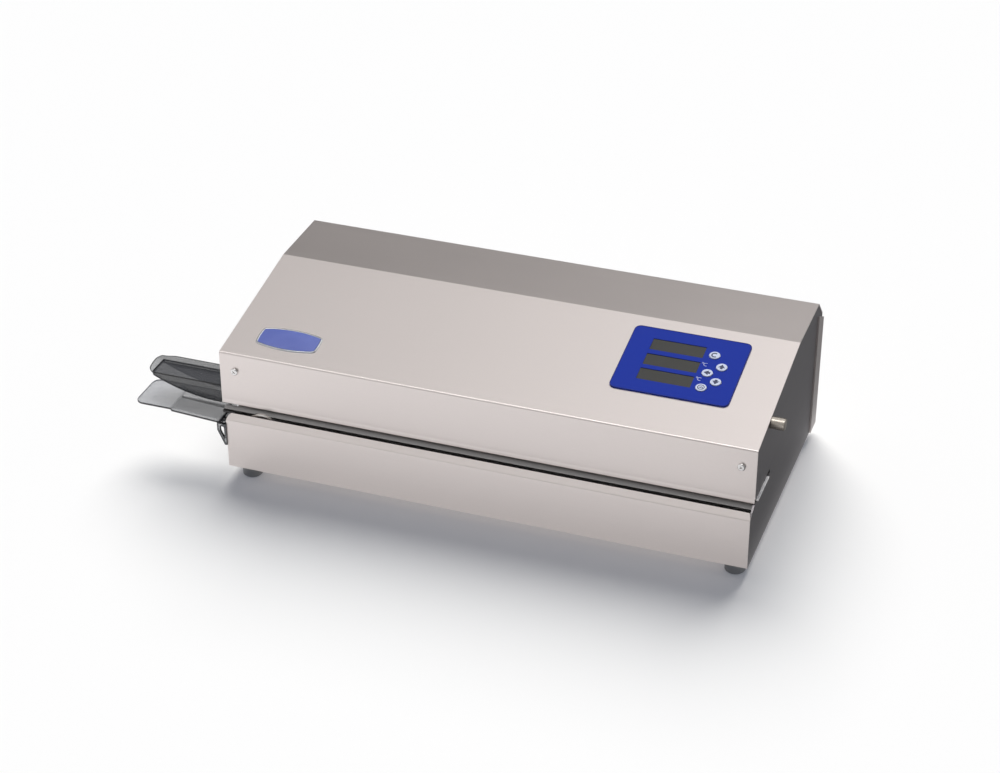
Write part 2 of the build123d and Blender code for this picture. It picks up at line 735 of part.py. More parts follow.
def board_standoffs():
    """Four pillars welded under the cover, each with the screw that holds the board."""
    group = []
    for x, s in standoff_places():
        under = -board_depth - board_thickness
        pillar = on_slope(x, s, -board_depth, -sheet, Circle(standoff_r))
        screw_head = on_slope(x, s, under - screw_head_height, under, Circle(screw_head_r))
        group.append(pillar + on_slope(x, s, under, -board_depth, Circle(screw_r)) + screw_head)
    return group


# ---- Slot -----------------------------------------------------------------------------------------
def lower_guide_plate():
    """The plate that carries the pouch: front edge, ramp, running surface, web and foot."""
    profile = [(guide_front_y, guide_front_z), (guide_ramp_y, guide_front_z), (guide_top_y, guide_top_z),
               (guide_web_y, guide_top_z), (guide_web_y, pan_top_z), (guide_web_y - flange_width, pan_top_z)]
    plate = bent_sheet(profile, (inner_left + guide_end_gap, inner_right - guide_end_gap), side=-1)
    tab = block((right_x - outfeed_tab_length, right_x - axial_gap), (lip_depth + skin, outfeed_tab_depth),
                (guide_top_z - outfeed_tab_thickness, guide_top_z))
    tab -= rod_y(pulley_x, (belt_low_y - past, 2 * slit_depth_y), lower_axis_z, belt_outer_r + past)
    for x, y in foot_places():
        plate -= rod_z(x, y, (pan_top_z - past, pan_top_z + nut_width), nut_width)
    return plate + tab + lead_strip((inner_right - 2 * guide_end_gap, inner_right - axial_gap))


def lead_strip(x):
    """The front edge and foot of the guide's ramp alone, between two places along X."""
    rise = (guide_top_z - guide_front_z) / (guide_top_y - guide_ramp_y)
    head_z = guide_front_z + rise * (lead_head_y - guide_ramp_y)
    profile = [(guide_front_y, guide_front_z), (guide_ramp_y, guide_front_z), (lead_head_y, head_z)]
    return bent_sheet(profile, x, side=-1)


def infeed_lead():
    """The guide's first strip, which carries the pouch from the tray through the left side plate."""
    return lead_strip((cover_left_x + lead_end_inset, inner_left + guide_end_gap))


# ---- Mechanism ------------------------------------------------------------------------------------
def axis_places():
    """The four pulley axes, as (x, z)."""
    return [(x, z) for x in (-pulley_x, pulley_x) for z in (lower_axis_z, upper_axis_z)]


def block_studs():
    """Where studs pass through the mechanism plate to hold blocks and beam, as (x, z)."""
    spots = []
    for ends, lower, upper in ((heater_x, lower_block_z - block_height / 2, beam_low_z + beam_height / 2),
                               (cooler_x, lower_block_z - block_height / 2, upper_block_z + block_height / 2)):
        for x in (ends[0] + stud_inset, ends[1] - stud_inset):
            spots += [(x, lower), (x, upper)]
    return spots


def mechanism_plate():
    """The upright plate behind the belts that carries every shaft, block and lever."""
    x = (inner_left + guide_end_gap, inner_right - guide_end_gap)
    plate = block(x, (plate_y, plate_back_y), (pan_top_z, plate_top_z))
    plate += block(x, (plate_y, plate_back_y + flange_width), (pan_top_z, pan_top_z + plate_thickness))
    through = (plate_y - past, plate_back_y + past)
    for ax, az in axis_places():
        plate -= rod_y(ax, through, az, bush_r)
    for sx, sz in block_studs():
        plate -= rod_y(sx, through, sz, screw_hole_r)
    for sx, sz in ((press_x, lower_roller_z), arm_pivot):
        plate -= rod_y(sx, through, sz, pin_r)
    return plate


def shaft_bushes():
    """Four flanged bushes pressed into the mechanism plate from the back."""
    group = []
    for x, z in axis_places():
        bush = rod_y(x, (bush_front_y, plate_back_y), z, bush_r)
        bush += rod_y(x, (plate_back_y, plate_back_y + collar_length), z, bush_flange_r)
        group.append(bush - rod_y(x, (0, 2 * plate_back_y), z, shaft_r + shaft_running))
    return group


def pulley(x, z):
    """A rubber-faced pulley with a lightened web."""
    y = (belt_low_y + axial_gap, belt_high_y - axial_gap)
    body = rod_y(x, y, z, pulley_radius)
    for side in ((y[0] - past, y[0] + pulley_web_recess), (y[1] - pulley_web_recess, y[1] + past)):
        body -= rod_y(x, side, z, pulley_radius - pulley_rim) - rod_y(x, side, z, shaft_r + pulley_rim)
    return body - rod_y(x, (0, 2 * belt_high_y), z, shaft_r)


def shaft(x, z, tail_y):
    """A pulley shaft with a retaining collar in front of the pulley and one before the bush."""
    front = belt_low_y + axial_gap - collar_length
    bar = rod_y(x, (front, tail_y), z, shaft_r)
    bar += rod_y(x, (front, front + collar_length), z, shaft_r + collar_rise)
    stop = bush_front_y - axial_gap
    return bar + rod_y(x, (stop - 2 * collar_length, stop), z, shaft_r + collar_rise)


def belt(z):
    """A sealing belt: two straight runs joined round both pulleys."""
    outer = SlotCenterToCenter(2 * pulley_x, 2 * belt_outer_r)
    inner = SlotCenterToCenter(2 * pulley_x, 2 * belt_inner_r)
    return plate_xz(Pos(0, z) * (outer - inner), (belt_low_y, belt_high_y))


def gear(x, z, turned):
    """A spur gear with straight-flanked teeth, turned by part of a tooth."""
    pitch_r = gear_module * gear_teeth / 2
    tip_r = pitch_r + 0.8 * gear_module
    root_r = pitch_r - 1.1 * gear_module
    step = 2 * pi / gear_teeth
    half = (tooth_root_share * step, tooth_tip_share * step)
    points = []
    for i in range(gear_teeth):
        middle = (i + turned) * step
        for radius, angle in ((root_r, -half[0]), (tip_r, -half[1]), (tip_r, half[1]), (root_r, half[0])):
            points.append((x + radius * cos(middle + angle), z + radius * sin(middle + angle)))
    blank = plate_xz(make_face(Polyline(*points, close=True)), (gear_y, gear_y + gear_width))
    blank += rod_y(x, (gear_y - gear_hub, gear_y), z, shaft_r + pulley_rim)
    return blank - rod_y(x, (gear_y - gear_hub - past, gear_y + 2 * gear_width), z, shaft_r)


def drive_train():
    """Pulleys, shafts, gears and coupling, as a mapping from node name to solid."""
    gear_end = gear_y + gear_width + gear_hub
    idle_end = plate_back_y + collar_length + shaft_r
    coupling_y = gear_end + past
    coupling_end = coupling_y + coupling_length
    coupling = rod_y(pulley_x, (coupling_y, coupling_end), lower_axis_z, coupling_r)
    coupling -= rod_y(pulley_x, (coupling_y - past, coupling_end + past), lower_axis_z, shaft_r)
    for i in range(coupling_grooves):
        y = coupling_y + coupling_length / 2 + (i - coupling_grooves / 2) * coupling_groove_pitch
        groove = (y, y + coupling_groove_width)
        coupling -= (rod_y(pulley_x, groove, lower_axis_z, coupling_r + past)
                     - rod_y(pulley_x, groove, lower_axis_z, coupling_r - coupling_groove_depth))
    lower_end = coupling_y + coupling_length / 2
    return {
        "lower_drive_shaft": shaft(pulley_x, lower_axis_z, lower_end),
        "upper_drive_shaft": shaft(pulley_x, upper_axis_z, gear_end),
        "lower_infeed_shaft": shaft(-pulley_x, lower_axis_z, idle_end),
        "upper_infeed_shaft": shaft(-pulley_x, upper_axis_z, idle_end),
        "lower_drive_pulley": pulley(pulley_x, lower_axis_z),
        "upper_drive_pulley": pulley(pulley_x, upper_axis_z),
        "lower_infeed_pulley": pulley(-pulley_x, lower_axis_z),
        "upper_infeed_pulley": pulley(-pulley_x, upper_axis_z),
        "lower_drive_gear": gear(pulley_x, lower_axis_z, 0),
        "upper_drive_gear": gear(pulley_x, upper_axis_z, 0.5),
        "motor_coupling": coupling,
    }


def gear_motor():
    """The gear motor: gearbox, can and output boss; its shaft turns in the coupling."""
    z = lower_axis_z - motor_offset
    front = motor_bracket_y + plate_thickness
    body = rod_y(pulley_x, (front, front + gearbox_length), z, motor_r)
    end = front + gearbox_length + motor_can_length
    body += rod_y(pulley_x, (front + gearbox_length, end), z, motor_can_r)
    body += rod_y(pulley_x, (end, end + collar_length), z, motor_can_r / 3)
    body += rod_y(pulley_x, (motor_bracket_y - past, front), lower_axis_z, motor_boss_r)
    terminal_z = z + motor_can_r / 2
    for side in (-1, 1):
        x = pulley_x + side * motor_can_r / 3
        body += block((x - terminal_width / 2, x + terminal_width / 2), (end, end + terminal_length),
                      (terminal_z, terminal_z + terminal_thickness))
    return body


def motor_bracket():
    """The angle bracket that holds the gear motor on the pan."""
    x = (pulley_x - motor_bracket_half, pulley_x + motor_bracket_half)
    bracket = block(x, (motor_bracket_y, motor_bracket_y + plate_thickness),
                    (pan_top_z, lower_axis_z + motor_r))
    bracket += block(x, (motor_bracket_y, motor_bracket_y + 5 * plate_thickness),
                     (pan_top_z, pan_top_z + plate_thickness))
    room = rod_y(pulley_x, (motor_bracket_y + plate_thickness, motor_bracket_y + gearbox_length),
                 lower_axis_z - motor_offset, motor_r + axial_gap)
    bracket -= rod_y(pulley_x, (motor_bracket_y - past, motor_bracket_y + 2 * plate_thickness),
                     lower_axis_z, motor_boss_r + axial_gap)
    return bracket - room


def bar_block(z):
    """A heater block behind a belt, with cross slots that even out its heat."""
    body = block(heater_x, (belt_low_y, belt_high_y), z)
    middle = sum(z) / 2
    pitch = (heater_x[1] - heater_x[0]) / block_slots
    for x in spread(sum(heater_x) / 2, pitch, block_slots):
        body -= block((x - slot_half, x + slot_half), (belt_low_y - past, belt_high_y - plate_thickness),
                      (middle - block_slot_half_height, middle + block_slot_half_height))
    return body


def studs(ends, z):
    """Two shouldered studs that carry a block from the mechanism plate."""
    group = []
    for x in (ends[0] + stud_inset, ends[1] - stud_inset):
        group.append(rod_y(x, (belt_high_y - past, plate_back_y + nut_height + screw_spare), z, screw_r))
        group.append(rod_y(x, (belt_high_y - past, plate_y), z, 2 * screw_r))
    return group


def lower_heater():
    """The fixed heater block under the lower belt's top run, with its cartridge's end."""
    z = (lower_block_z - block_height, lower_block_z)
    body = bar_block(z) + studs(heater_x, sum(z) / 2)
    return body + cartridge(z[0] + cartridge_length)


def cartridge(z):
    """The end of a heating cartridge that stands out of a block."""
    return rod_x((heater_x[0] - cartridge_length, heater_x[0]), belt_y, z, cartridge_r)


def upper_heater():
    """The floating heater block above the upper belt's bottom run, with its guide pins."""
    z = (upper_block_z, upper_block_z + block_height)
    body = bar_block(z)
    for x in guide_pin_places():
        body += rod_z(x, belt_y, (z[1], beam_low_z + beam_height + past), guide_pin_r)
    return body + cartridge(z[1] - cartridge_length)


def guide_pin_places():
    """X of the guide pins and springs of the upper heater."""
    return [heater_x[0] + guide_pin_inset, heater_x[1] - guide_pin_inset]


def spring_beam():
    """The fixed beam that guides the upper heater's pins and backs its springs."""
    beam = block(heater_x, (belt_low_y, belt_high_y), (beam_low_z, beam_low_z + beam_height))
    for x in guide_pin_places():
        bore = (beam_low_z - past, beam_low_z + 2 * beam_height)
        beam -= rod_z(x, belt_y, bore, guide_pin_r + shaft_running)
    return beam + studs(heater_x, beam_low_z + beam_height / 2)


def heater_springs():
    """Coil springs on the guide pins, between the upper heater and the beam."""
    low = upper_block_z + block_height + spring_seat
    length = beam_low_z - spring_seat - low - spring_wire
    path = Helix(pitch=length / spring_turns, height=length, radius=spring_r - spring_wire / 2)
    section = Plane(origin=path @ 0, z_dir=path % 0) * Circle(spring_wire / 2)
    coil = sweep(section, path)
    return [Pos(x, belt_y, low + spring_wire / 2) * coil for x in guide_pin_places()]


def cooling_blocks():
    """Two finned blocks that cool the seal, one behind each belt."""
    group = []
    for z in ((lower_block_z - block_height, lower_block_z), (upper_block_z, upper_block_z + block_height)):
        body = block(cooler_x, (belt_low_y, belt_high_y), z)
        below = z[0] < nip_z
        fins = (z[0] - past, z[1] - fin_root) if below else (z[0] + fin_root, z[1] + past)
        for x in spread(sum(cooler_x) / 2, fin_pitch, fin_count):
            body -= block((x - slot_half, x + slot_half), (belt_low_y - past, belt_high_y + past), fins)
        body += studs(cooler_x, sum(z) / 2)
        group.append(body)
    return group


def press_roller(z):
    """A knurled roller that presses the seal through its belt."""
    y = (belt_low_y + axial_gap, belt_high_y - axial_gap)
    body = rod_y(press_x, y, z, press_roller_r)
    for side in ((y[0] - past, y[0] + pulley_web_recess), (y[1] - pulley_web_recess, y[1] + past)):
        body -= rod_y(press_x, side, z, press_roller_r - collar_rise) - rod_y(press_x, side, z, pin_r + collar_rise)
    return body - rod_y(press_x, (0, 2 * belt_high_y), z, pin_r + shaft_running)


def roller_pin():
    """The fixed pin of the lower press roller."""
    pin = rod_y(press_x, (belt_low_y - collar_length, plate_back_y + collar_length), lower_roller_z, pin_r)
    pin += rod_y(press_x, (belt_low_y - collar_length, belt_low_y), lower_roller_z, pin_r + collar_rise)
    return pin + rod_y(press_x, (belt_high_y, plate_y), lower_roller_z, pin_r + collar_rise)


def arm_pin():
    """The pivot pin of the pressure arm."""
    x, z = arm_pivot
    front = arm_y - axial_gap - collar_length
    pin = rod_y(x, (front, plate_back_y + collar_length), z, pin_r)
    pin += rod_y(x, (front, front + collar_length), z, pin_r + collar_rise)
    return pin + rod_y(x, (arm_y + arm_thickness + axial_gap, plate_y), z, pin_r + collar_rise)


def press_arm():
    """The pressure arm: hub, roller pin, and a tail over the drive shaft with a leaf under the cam."""
    px, pz = arm_pivot
    leaf_z = knob_z - cam_r - cam_throw - leaf_gap
    tail_x, tail_z = cam_x + cam_width + pin_r, leaf_z - leaf_rise
    y = (arm_y, arm_y + arm_thickness)
    rise_x = cam_x - 2 * arm_hub
    outline = Polyline((px - arm_hub, pz - arm_hub), (px + arm_hub, pz - arm_tail),
                       (press_x, upper_roller_z - 2 * pin_r), (press_x + 2 * pin_r, upper_roller_z + pin_r),
                       (rise_x, tail_z - arm_tail), (tail_x, tail_z - 2 * pin_r), (tail_x, tail_z),
                       (rise_x - pin_r, tail_z), (px + arm_hub, pz + arm_tail), (px - arm_hub, pz + arm_hub),
                       close=True)
    arm = plate_xz(fillet(make_face(outline).vertices(), sheet), y)
    arm += rod_y(press_x, (belt_low_y - collar_length, arm_y), upper_roller_z, pin_r)
    arm += rod_y(press_x, (belt_high_y + axial_gap, arm_y), upper_roller_z, pin_r + collar_rise)
    arm += rod_y(press_x, (belt_low_y - collar_length, belt_low_y), upper_roller_z, pin_r + collar_rise)
    leaf_x = cam_x - cam_width
    arm += block((leaf_x, tail_x), y, (leaf_z - leaf_thickness, leaf_z))
    arm += block((leaf_x, leaf_x + collar_length), y, (tail_z - past, leaf_z))
    return arm - rod_y(px, (0, 2 * plate_y), pz, pin_r + shaft_running)


def pressure_knob():
    """The knob in the right side plate, with the spindle and cam that load the pressure arm."""
    low = right_x + knob_gap
    knob = rod_x((low, low + knob_length), knob_y, knob_z, knob_r)
    knob = chamfer(knob.edges().group_by(Axis.X)[-1], knob_bevel)
    knob += rod_x((cam_x - pin_r, low), knob_y, knob_z, spindle_r)
    knob += rod_x((cam_x, cam_x + cam_width), knob_y, knob_z + cam_throw, cam_r)
    stop = inner_right - axial_gap
    return knob + rod_x((stop - collar_length, stop), knob_y, knob_z, collar_r)


def edge_wheel():
    """The free wheel behind the lower panel that steadies the hanging pouch: rim, web and hub."""
    y = (edge_wheel_y, edge_wheel_y + edge_wheel_width)
    wheel = rod_y(edge_wheel_x, y, edge_wheel_z, edge_wheel_r)
    recess_r = edge_wheel_r - edge_wheel_rim
    wheel -= rod_y(edge_wheel_x, (y[0] - past, y[0] + edge_wheel_web), edge_wheel_z, recess_r)
    wheel -= rod_y(edge_wheel_x, (y[1] - edge_wheel_web, y[1] + past), edge_wheel_z, recess_r)
    wheel += rod_y(edge_wheel_x, y, edge_wheel_z, pin_r + collar_rise)
    return wheel - rod_y(edge_wheel_x, (y[0] - past, y[1] + past), edge_wheel_z, pin_r + shaft_running)


def edge_wheel_bracket():
    """The angle on the pan that carries the edge wheel on a headed pin."""
    low = edge_wheel_y + edge_wheel_width + axial_gap
    x = (edge_wheel_x - pin_r, edge_wheel_x + 3 * pin_r)
    bracket = block(x, (low, low + sheet), (pan_top_z, edge_wheel_z + 2 * pin_r))
    bracket += block(x, (low, low + 3 * pin_r), (pan_top_z, pan_top_z + sheet))
    return bracket + rod_y(edge_wheel_x, (edge_wheel_y - axial_gap, low), edge_wheel_z, pin_r)


# ---- Infeed ---------------------------------------------------------------------------------------
def guard_screw_places():
    """Screws of the guard's flange, as (y, z)."""
    return [(guard_front_y + i * guard_depth, guard_top_z + guard_screw_rise) for i in (0.25, 0.75)]


def infeed_guard():
    """The smoked guard over the infeed: a channel open below, with boat-shaped walls and an upstand."""
    root = left_x
    skirt_z = guard_top_z - guard_skirt
    nose_z = guard_top_z - 1.5 * guard_wall
    back_y = guard_front_y + guard_depth
    belly = (cover_left_x - guard_belly, skirt_z + guard_belly_rise * guard_skirt)
    low_edge = ThreePointArc((cover_left_x, skirt_z), belly, (guard_end_x, nose_z))
    sides = Polyline((guard_end_x, nose_z), (guard_end_x, guard_top_z), (root, guard_top_z),
                     (root, skirt_z), (cover_left_x, skirt_z))
    outline = make_face([low_edge, sides])
    body = plate_xz(outline, (guard_front_y, back_y))
    hollow = plate_xz(Pos(0, -guard_wall) * outline, (guard_front_y + guard_wall, back_y - guard_wall))
    body -= hollow + Pos(2 * guard_wall, 0, -guard_skirt / 2) * hollow
    tip_x, tip_z = guard_end_x - guard_flare, guard_top_z + guard_upstand
    body += block((guard_end_x, root), (back_y - guard_wall, back_y), (guard_top_z - past, tip_z))
    flare = Polyline((guard_end_x, nose_z), (guard_end_x, guard_top_z), (tip_x + guard_wall, tip_z),
                     (tip_x, tip_z - past), close=True)
    flare = plate_xz(make_face(flare), (guard_front_y, back_y))
    corner = [(guard_front_y - past, guard_top_z + guard_wall), (back_y, tip_z), (back_y, tip_z + past),
              (guard_front_y - past, tip_z + past)]
    body += flare - plate_yz(corner, (tip_x - past, root))
    flange = block((root - guard_flange, root), (guard_front_y, back_y),
                   (guard_top_z - past, guard_top_z + guard_flange_height))
    for y, z in guard_screw_places():
        flange -= rod_x((root - guard_flange - past, root + past), y, z, screw_hole_r)
    return body + flange


def tray_screw_places():
    """Screws of the tray bracket, as (y, z)."""
    return [(y, tray_top_z - bracket_screw_drop) for y in bracket_screw_y]


def pocket_floor(x):
    """Height of the pocket's floor, which falls towards the case."""
    return tray_top_z - tray_step - tray_fall * (x - tray_step_x) / (left_x - tray_step_x)


def infeed_tray():
    """The clear tray before the slot: a level leaf with a pocket let in beside the case."""
    under = tray_top_z - tray_thickness
    leaf = block((tray_end_x, left_x - axial_gap), (tray_front_y, tray_back_y), (under, tray_top_z))
    leaf = fillet(leaf.edges().filter_by(Axis.Z).group_by(Axis.X)[0], tray_corner)
    leaf -= block((tray_step_x, left_x), (tray_front_y - past, tray_step_y), (under - past, tray_top_z + past))
    start, end = tray_step_x - tray_thickness, left_x - bracket_reach + bracket_gusset
    foot = [(x, pocket_floor(x) - tray_thickness) for x in (start, end)]
    inside = [(end, pocket_floor(end)), (tray_step_x, pocket_floor(tray_step_x)), (tray_step_x, tray_top_z)]
    floor = plate_xz(make_face(Polyline((start, tray_top_z), *foot, *inside, close=True)),
                     (tray_front_y, tray_step_y))
    back = plate_xz(make_face(Polyline((start, tray_top_z), *foot, (end, tray_top_z), close=True)),
                    (tray_step_y, tray_step_y + tray_thickness))
    return leaf + floor + back


def tray_bracket():
    """The clear bracket that carries the tray from the left side plate."""
    tip_x, bar_x, flange_x = left_x - bracket_reach, left_x - bracket_reach + bracket_gusset, left_x - bracket_flange

    def under(x):
        return pocket_floor(x) - tray_thickness

    low = under(left_x) - bracket_height
    knee = low + 2 * bracket_height / 3
    outline = make_face(Polyline((tip_x, under(tip_x)), (tip_x, knee), (flange_x, low), (left_x, low),
                                 (left_x, under(left_x)), close=True))
    window = make_face(Polyline((bar_x, under(bar_x) - bracket_gusset), (bar_x, knee),
                                (flange_x, low + bracket_gusset * 2), (flange_x, under(flange_x) - bracket_gusset),
                                close=True))
    bar = make_face(Polyline((tip_x, under(tip_x)), (tip_x, under(tip_x) - bracket_gusset),
                             (bar_x, under(bar_x) - bracket_gusset), (bar_x, under(bar_x)), close=True))
    bracket = block((flange_x, left_x), (tray_front_y + bracket_gusset - past, tray_back_y), (low, under(left_x)))
    bracket += plate_xz(bar, (tray_front_y, tray_step_y + tray_thickness))
    for front in (tray_front_y, tray_front_y + bracket_gusset_step):
        bracket += plate_xz(outline - window, (front, front + bracket_gusset))
    for y, z in tray_screw_places():
        bracket -= rod_x((flange_x - past, left_x + past), y, z, screw_hole_r)
    return bracket


# ---- Rear services --------------------------------------------------------------------------------
def fan_screw_places():
    """The fan's four screws, as (x, z)."""
    half = fan_screw_pitch / 2
    return [(fan_x + i * half, fan_z + j * half) for i in (-1, 1) for j in (-1, 1)]


def fan_frame():
    """The fan's square frame with its spider and motor cup."""
    front = rear_y - fan_depth
    half = fan_size / 2
    frame = block((fan_x - half, fan_x + half), (front, rear_y), (fan_z - half, fan_z + half))
    spider = (front, front + collar_length)
    frame = fillet(frame.edges().filter_by(Axis.Y), 2 * screw_hole_r)
    frame -= rod_y(fan_x, (front - past, rear_y + past), fan_z, half - fan_wall)
    for angle in (30, 150, 270):
        spoke = block((-fan_wall, fan_wall), spider, (0, half - past))
        frame += Pos(fan_x, 0, fan_z) * Rot(0, angle, 0) * spoke
    frame += rod_y(fan_x, spider, fan_z, fan_hub_r + past)
    frame += rod_y(fan_x, (front, front + fan_depth / 2), fan_z, fan_pin_r)
    for x, z in fan_screw_places():
        frame -= rod_y(x, (front - past, rear_y + past), z, screw_hole_r)
    return frame


def fan_rotor():
    """The fan's rotor: a hub cup with seven pitched blades on the frame's pin."""
    front = rear_y - fan_depth + collar_length + axial_gap
    rear = rear_y - fan_wall
    reach = fan_size / 2 - fan_wall - past
    hub = rod_y(fan_x, (front, rear), fan_z, fan_hub_r)
    hub -= rod_y(fan_x, (front - past, rear - 2 * collar_length), fan_z, fan_pin_r + shaft_running)
    disc = rod_y(fan_x, (front, rear), fan_z, reach)
    span = reach - fan_hub_r + 2 * past
    blade = Pos(0, 0, (reach + fan_hub_r) / 2) * Rot(0, 0, fan_blade_pitch) * Box(fan_hub_r, fan_wall, span)
    centre = Pos(fan_x, (front + rear) / 2, fan_z)
    for i in range(fan_blades):
        hub += (centre * Rot(0, 360 / fan_blades * i, 0) * blade) & disc
    return hub


def fan_grille():
    """A wire guard of rings and spokes over the fan's opening, with its screws' eyes."""
    low = outer_rear
    half_wire = grille_wire / 2
    reach = fan_screw_pitch / 2 * 2 ** 0.5 - screw_hole_r
    grille = []
    for radius in grille_radii:
        ring = Pos(fan_x, low + eye_height + half_wire / 2, fan_z) * Rot(90, 0, 0) * Torus(radius, half_wire)
        grille = ring if not grille else grille + ring
    spoke = block((-reach, reach), (low + eye_height / 3, low + eye_height), (-half_wire, half_wire))
    for angle in (45, -45):
        grille += Pos(fan_x, 0, fan_z) * Rot(0, angle, 0) * spoke
    for x, z in fan_screw_places():
        grille += rod_y(x, (low, low + eye_height), z, screw_head_r + screw_hole_r / 2)
    for x, z in fan_screw_places():
        grille -= rod_y(x, (low - past, low + 2 * eye_height), z, screw_hole_r)
    return grille


def mains_inlet():
    """The mains inlet: flange, body, recessed socket and three pins."""
    outer, face = outer_rear, outer_rear + inlet_flange
    rim = Pos(inlet_x, inlet_z) * RectangleRounded(inlet_screw_spread + 10, inlet_height + 3.5, 4)
    inlet = plate_xz(rim, (outer, face))
    inlet += plate_xz(Pos(inlet_x, inlet_z) * Rectangle(inlet_width, inlet_height), (outer - inlet_depth, outer))
    half_w, half_h = socket_width / 2, socket_height / 2
    socket = Polyline((-half_w, -half_h), (half_w, -half_h), (half_w, half_h - socket_bevel),
                      (half_w - socket_bevel, half_h), (socket_bevel - half_w, half_h),
                      (-half_w, half_h - socket_bevel), close=True)
    inlet -= plate_xz(Pos(inlet_x, inlet_z) * make_face(socket), (outer - socket_depth, face + past))
    for x, z in inlet_pins:
        inlet += block((inlet_x + x - pin_half_width, inlet_x + x + pin_half_width),
                       (outer - socket_depth - past, outer - pin_recess),
                       (inlet_z + z - pin_half_height, inlet_z + z + pin_half_height))
    for x in inlet_screw_xs():
        inlet -= rod_y(x, (outer - past, face + past), inlet_z, screw_hole_r)
    return inlet


def inlet_screw_xs():
    """X of the inlet's two screws."""
    return (inlet_x - inlet_screw_spread / 2, inlet_x + inlet_screw_spread / 2)


def switch_housing():
    """The power switch's housing: bezel outside the wall, body inside, open for the rocker."""
    centre = Pos(rocker_x, inlet_z)
    back_y = outer_rear - housing_depth
    rim = RectangleRounded(rocker_width + 2 * bezel_rim, rocker_height + 2 * bezel_rim, bezel_rim)
    housing = plate_xz(centre * rim, (outer_rear, outer_rear + bezel_height))
    housing += plate_xz(centre * Rectangle(rocker_width, rocker_height), (back_y, outer_rear))
    well = Rectangle(rocker_width - 2 * housing_wall, rocker_height - 2 * housing_wall)
    housing -= plate_xz(centre * well, (outer_rear - housing_depth / 2, outer_rear + 2 * bezel_height))
    for side in (-1, 1):
        x = rocker_x + side * rocker_width / 4
        housing += block((x - terminal_thickness / 2, x + terminal_thickness / 2),
                         (back_y - terminal_length, back_y),
                         (inlet_z - terminal_width / 2, inlet_z + terminal_width / 2))
    half = rocker_width / 2 - housing_wall / 2
    return housing + rod_x((rocker_x - half, rocker_x + half), rocker_axis_y, inlet_z, rocker_pin_r)


def power_rocker():
    """The rocker, a shallow V on its cross pin."""
    half = rocker_height / 2 - housing_wall - rocker_gap
    half_width = rocker_width / 2 - housing_wall - rocker_gap / 2.5
    face_y, low_y = rocker_axis_y + rocker_face, rocker_axis_y - rocker_face
    lean = half * tan(radians(rocker_tilt / 2))
    outline = [(low_y, inlet_z - half + past), (face_y - lean, inlet_z - half), (face_y - lean / 2, inlet_z),
               (face_y + lean, inlet_z + half), (low_y, inlet_z + half - past)]
    rocker = plate_yz(outline, (rocker_x - half_width, rocker_x + half_width))
    return rocker - rod_x((rocker_x - rocker_width, rocker_x + rocker_width), rocker_axis_y, inlet_z,
                          rocker_pin_r + shaft_running)


def power_supply():
    """The power supply: board on four pillars, transformer, capacitors, heat sink and terminals."""
    cx, cy = supply_centre
    length, depth, height = supply_size
    low = pan_top_z + supply_rise
    face = low + board_thickness
    board = block((cx - length / 2, cx + length / 2), (cy - depth / 2, cy + depth / 2), (low, face))
    inset = standoff_r + board_margin
    for i in (-1, 1):
        for j in (-1, 1):
            x, y = cx + i * (length / 2 - inset), cy + j * (depth / 2 - inset)
            board += rod_z(x, y, (pan_top_z, low), standoff_r)
    half = depth / 4
    board += block((cx - half, cx + half), (cy - half, cy + half), (face, pan_top_z + height))
    sink_x = cx + length / 5
    board += block((sink_x - sheet, sink_x + sheet), (cy - 1.5 * half, cy + 1.5 * half),
                   (face, pan_top_z + 0.9 * height))
    for y in spread(cy, 5 * capacitor_r, 3):
        board += rod_z(cx + length / 3, y, (face, pan_top_z + 0.75 * height), 2 * capacitor_r)
    for y in spread(cy, 2.5 * capacitor_r, 5):
        board += block((cx - length / 2 + inset, cx - length / 2 + 3 * inset), (y - capacitor_r, y + capacitor_r),
                       (face, pan_top_z + height / 2))
    return board


# ---- The machine ----------------------------------------------------------------------------------
def machine():
    """Every sub-part by its node name, in the machine frame."""
    parts = {
        "base_pan": base_pan(), "left_side_plate": left_side_plate(), "right_side_plate": right_side_plate(),
        "top_cover": top_cover(), "front_panel": front_panel(), "rear_cover": rear_cover(),
        "case_screws": case_screws() + foot_screws(), "feet": feet(),
        "badge_plate": badge_plate(), "panel_overlay": panel_overlay(),
        "display_windows": display_windows(), "display_modules": display_modules(),
        "control_board": control_board(), "board_standoffs": board_standoffs(),
        "lower_guide_plate": lower_guide_plate(), "infeed_lead": infeed_lead(), "mechanism_plate": mechanism_plate(),
        "shaft_bushes": shaft_bushes(), "lower_belt": belt(lower_axis_z), "upper_belt": belt(upper_axis_z),
        "gear_motor": gear_motor(), "motor_bracket": motor_bracket(), "lower_heater": lower_heater(),
        "upper_heater": upper_heater(), "spring_beam": spring_beam(), "heater_springs": heater_springs(),
        "cooling_blocks": cooling_blocks(), "lower_press_roller": press_roller(lower_roller_z),
        "upper_press_roller": press_roller(upper_roller_z), "mechanism_pins": [roller_pin(), arm_pin()],
        "press_arm": press_arm(), "pressure_knob": pressure_knob(), "edge_wheel": edge_wheel(),
        "edge_wheel_bracket": edge_wheel_bracket(), "infeed_guard": infeed_guard(),
        "infeed_tray": infeed_tray(), "tray_bracket": tray_bracket(),
        "fan_frame": fan_frame(), "fan_rotor": fan_rotor(), "fan_grille": fan_grille(),
        "mains_inlet": mains_inlet(),
        "switch_housing": switch_housing(), "power_rocker": power_rocker(), "power_supply": power_supply(),
    }
    parts.update(drive_train())
    for name in key_places:
        parts[name] = key(name)
    return parts


def solids_of(part):
    """The separate solids of a sub-part, which is one shape or a list of shapes."""
    shapes = part if isinstance(part, list) else [part]
    return [solid for shape in shapes for solid in shape.solids()]


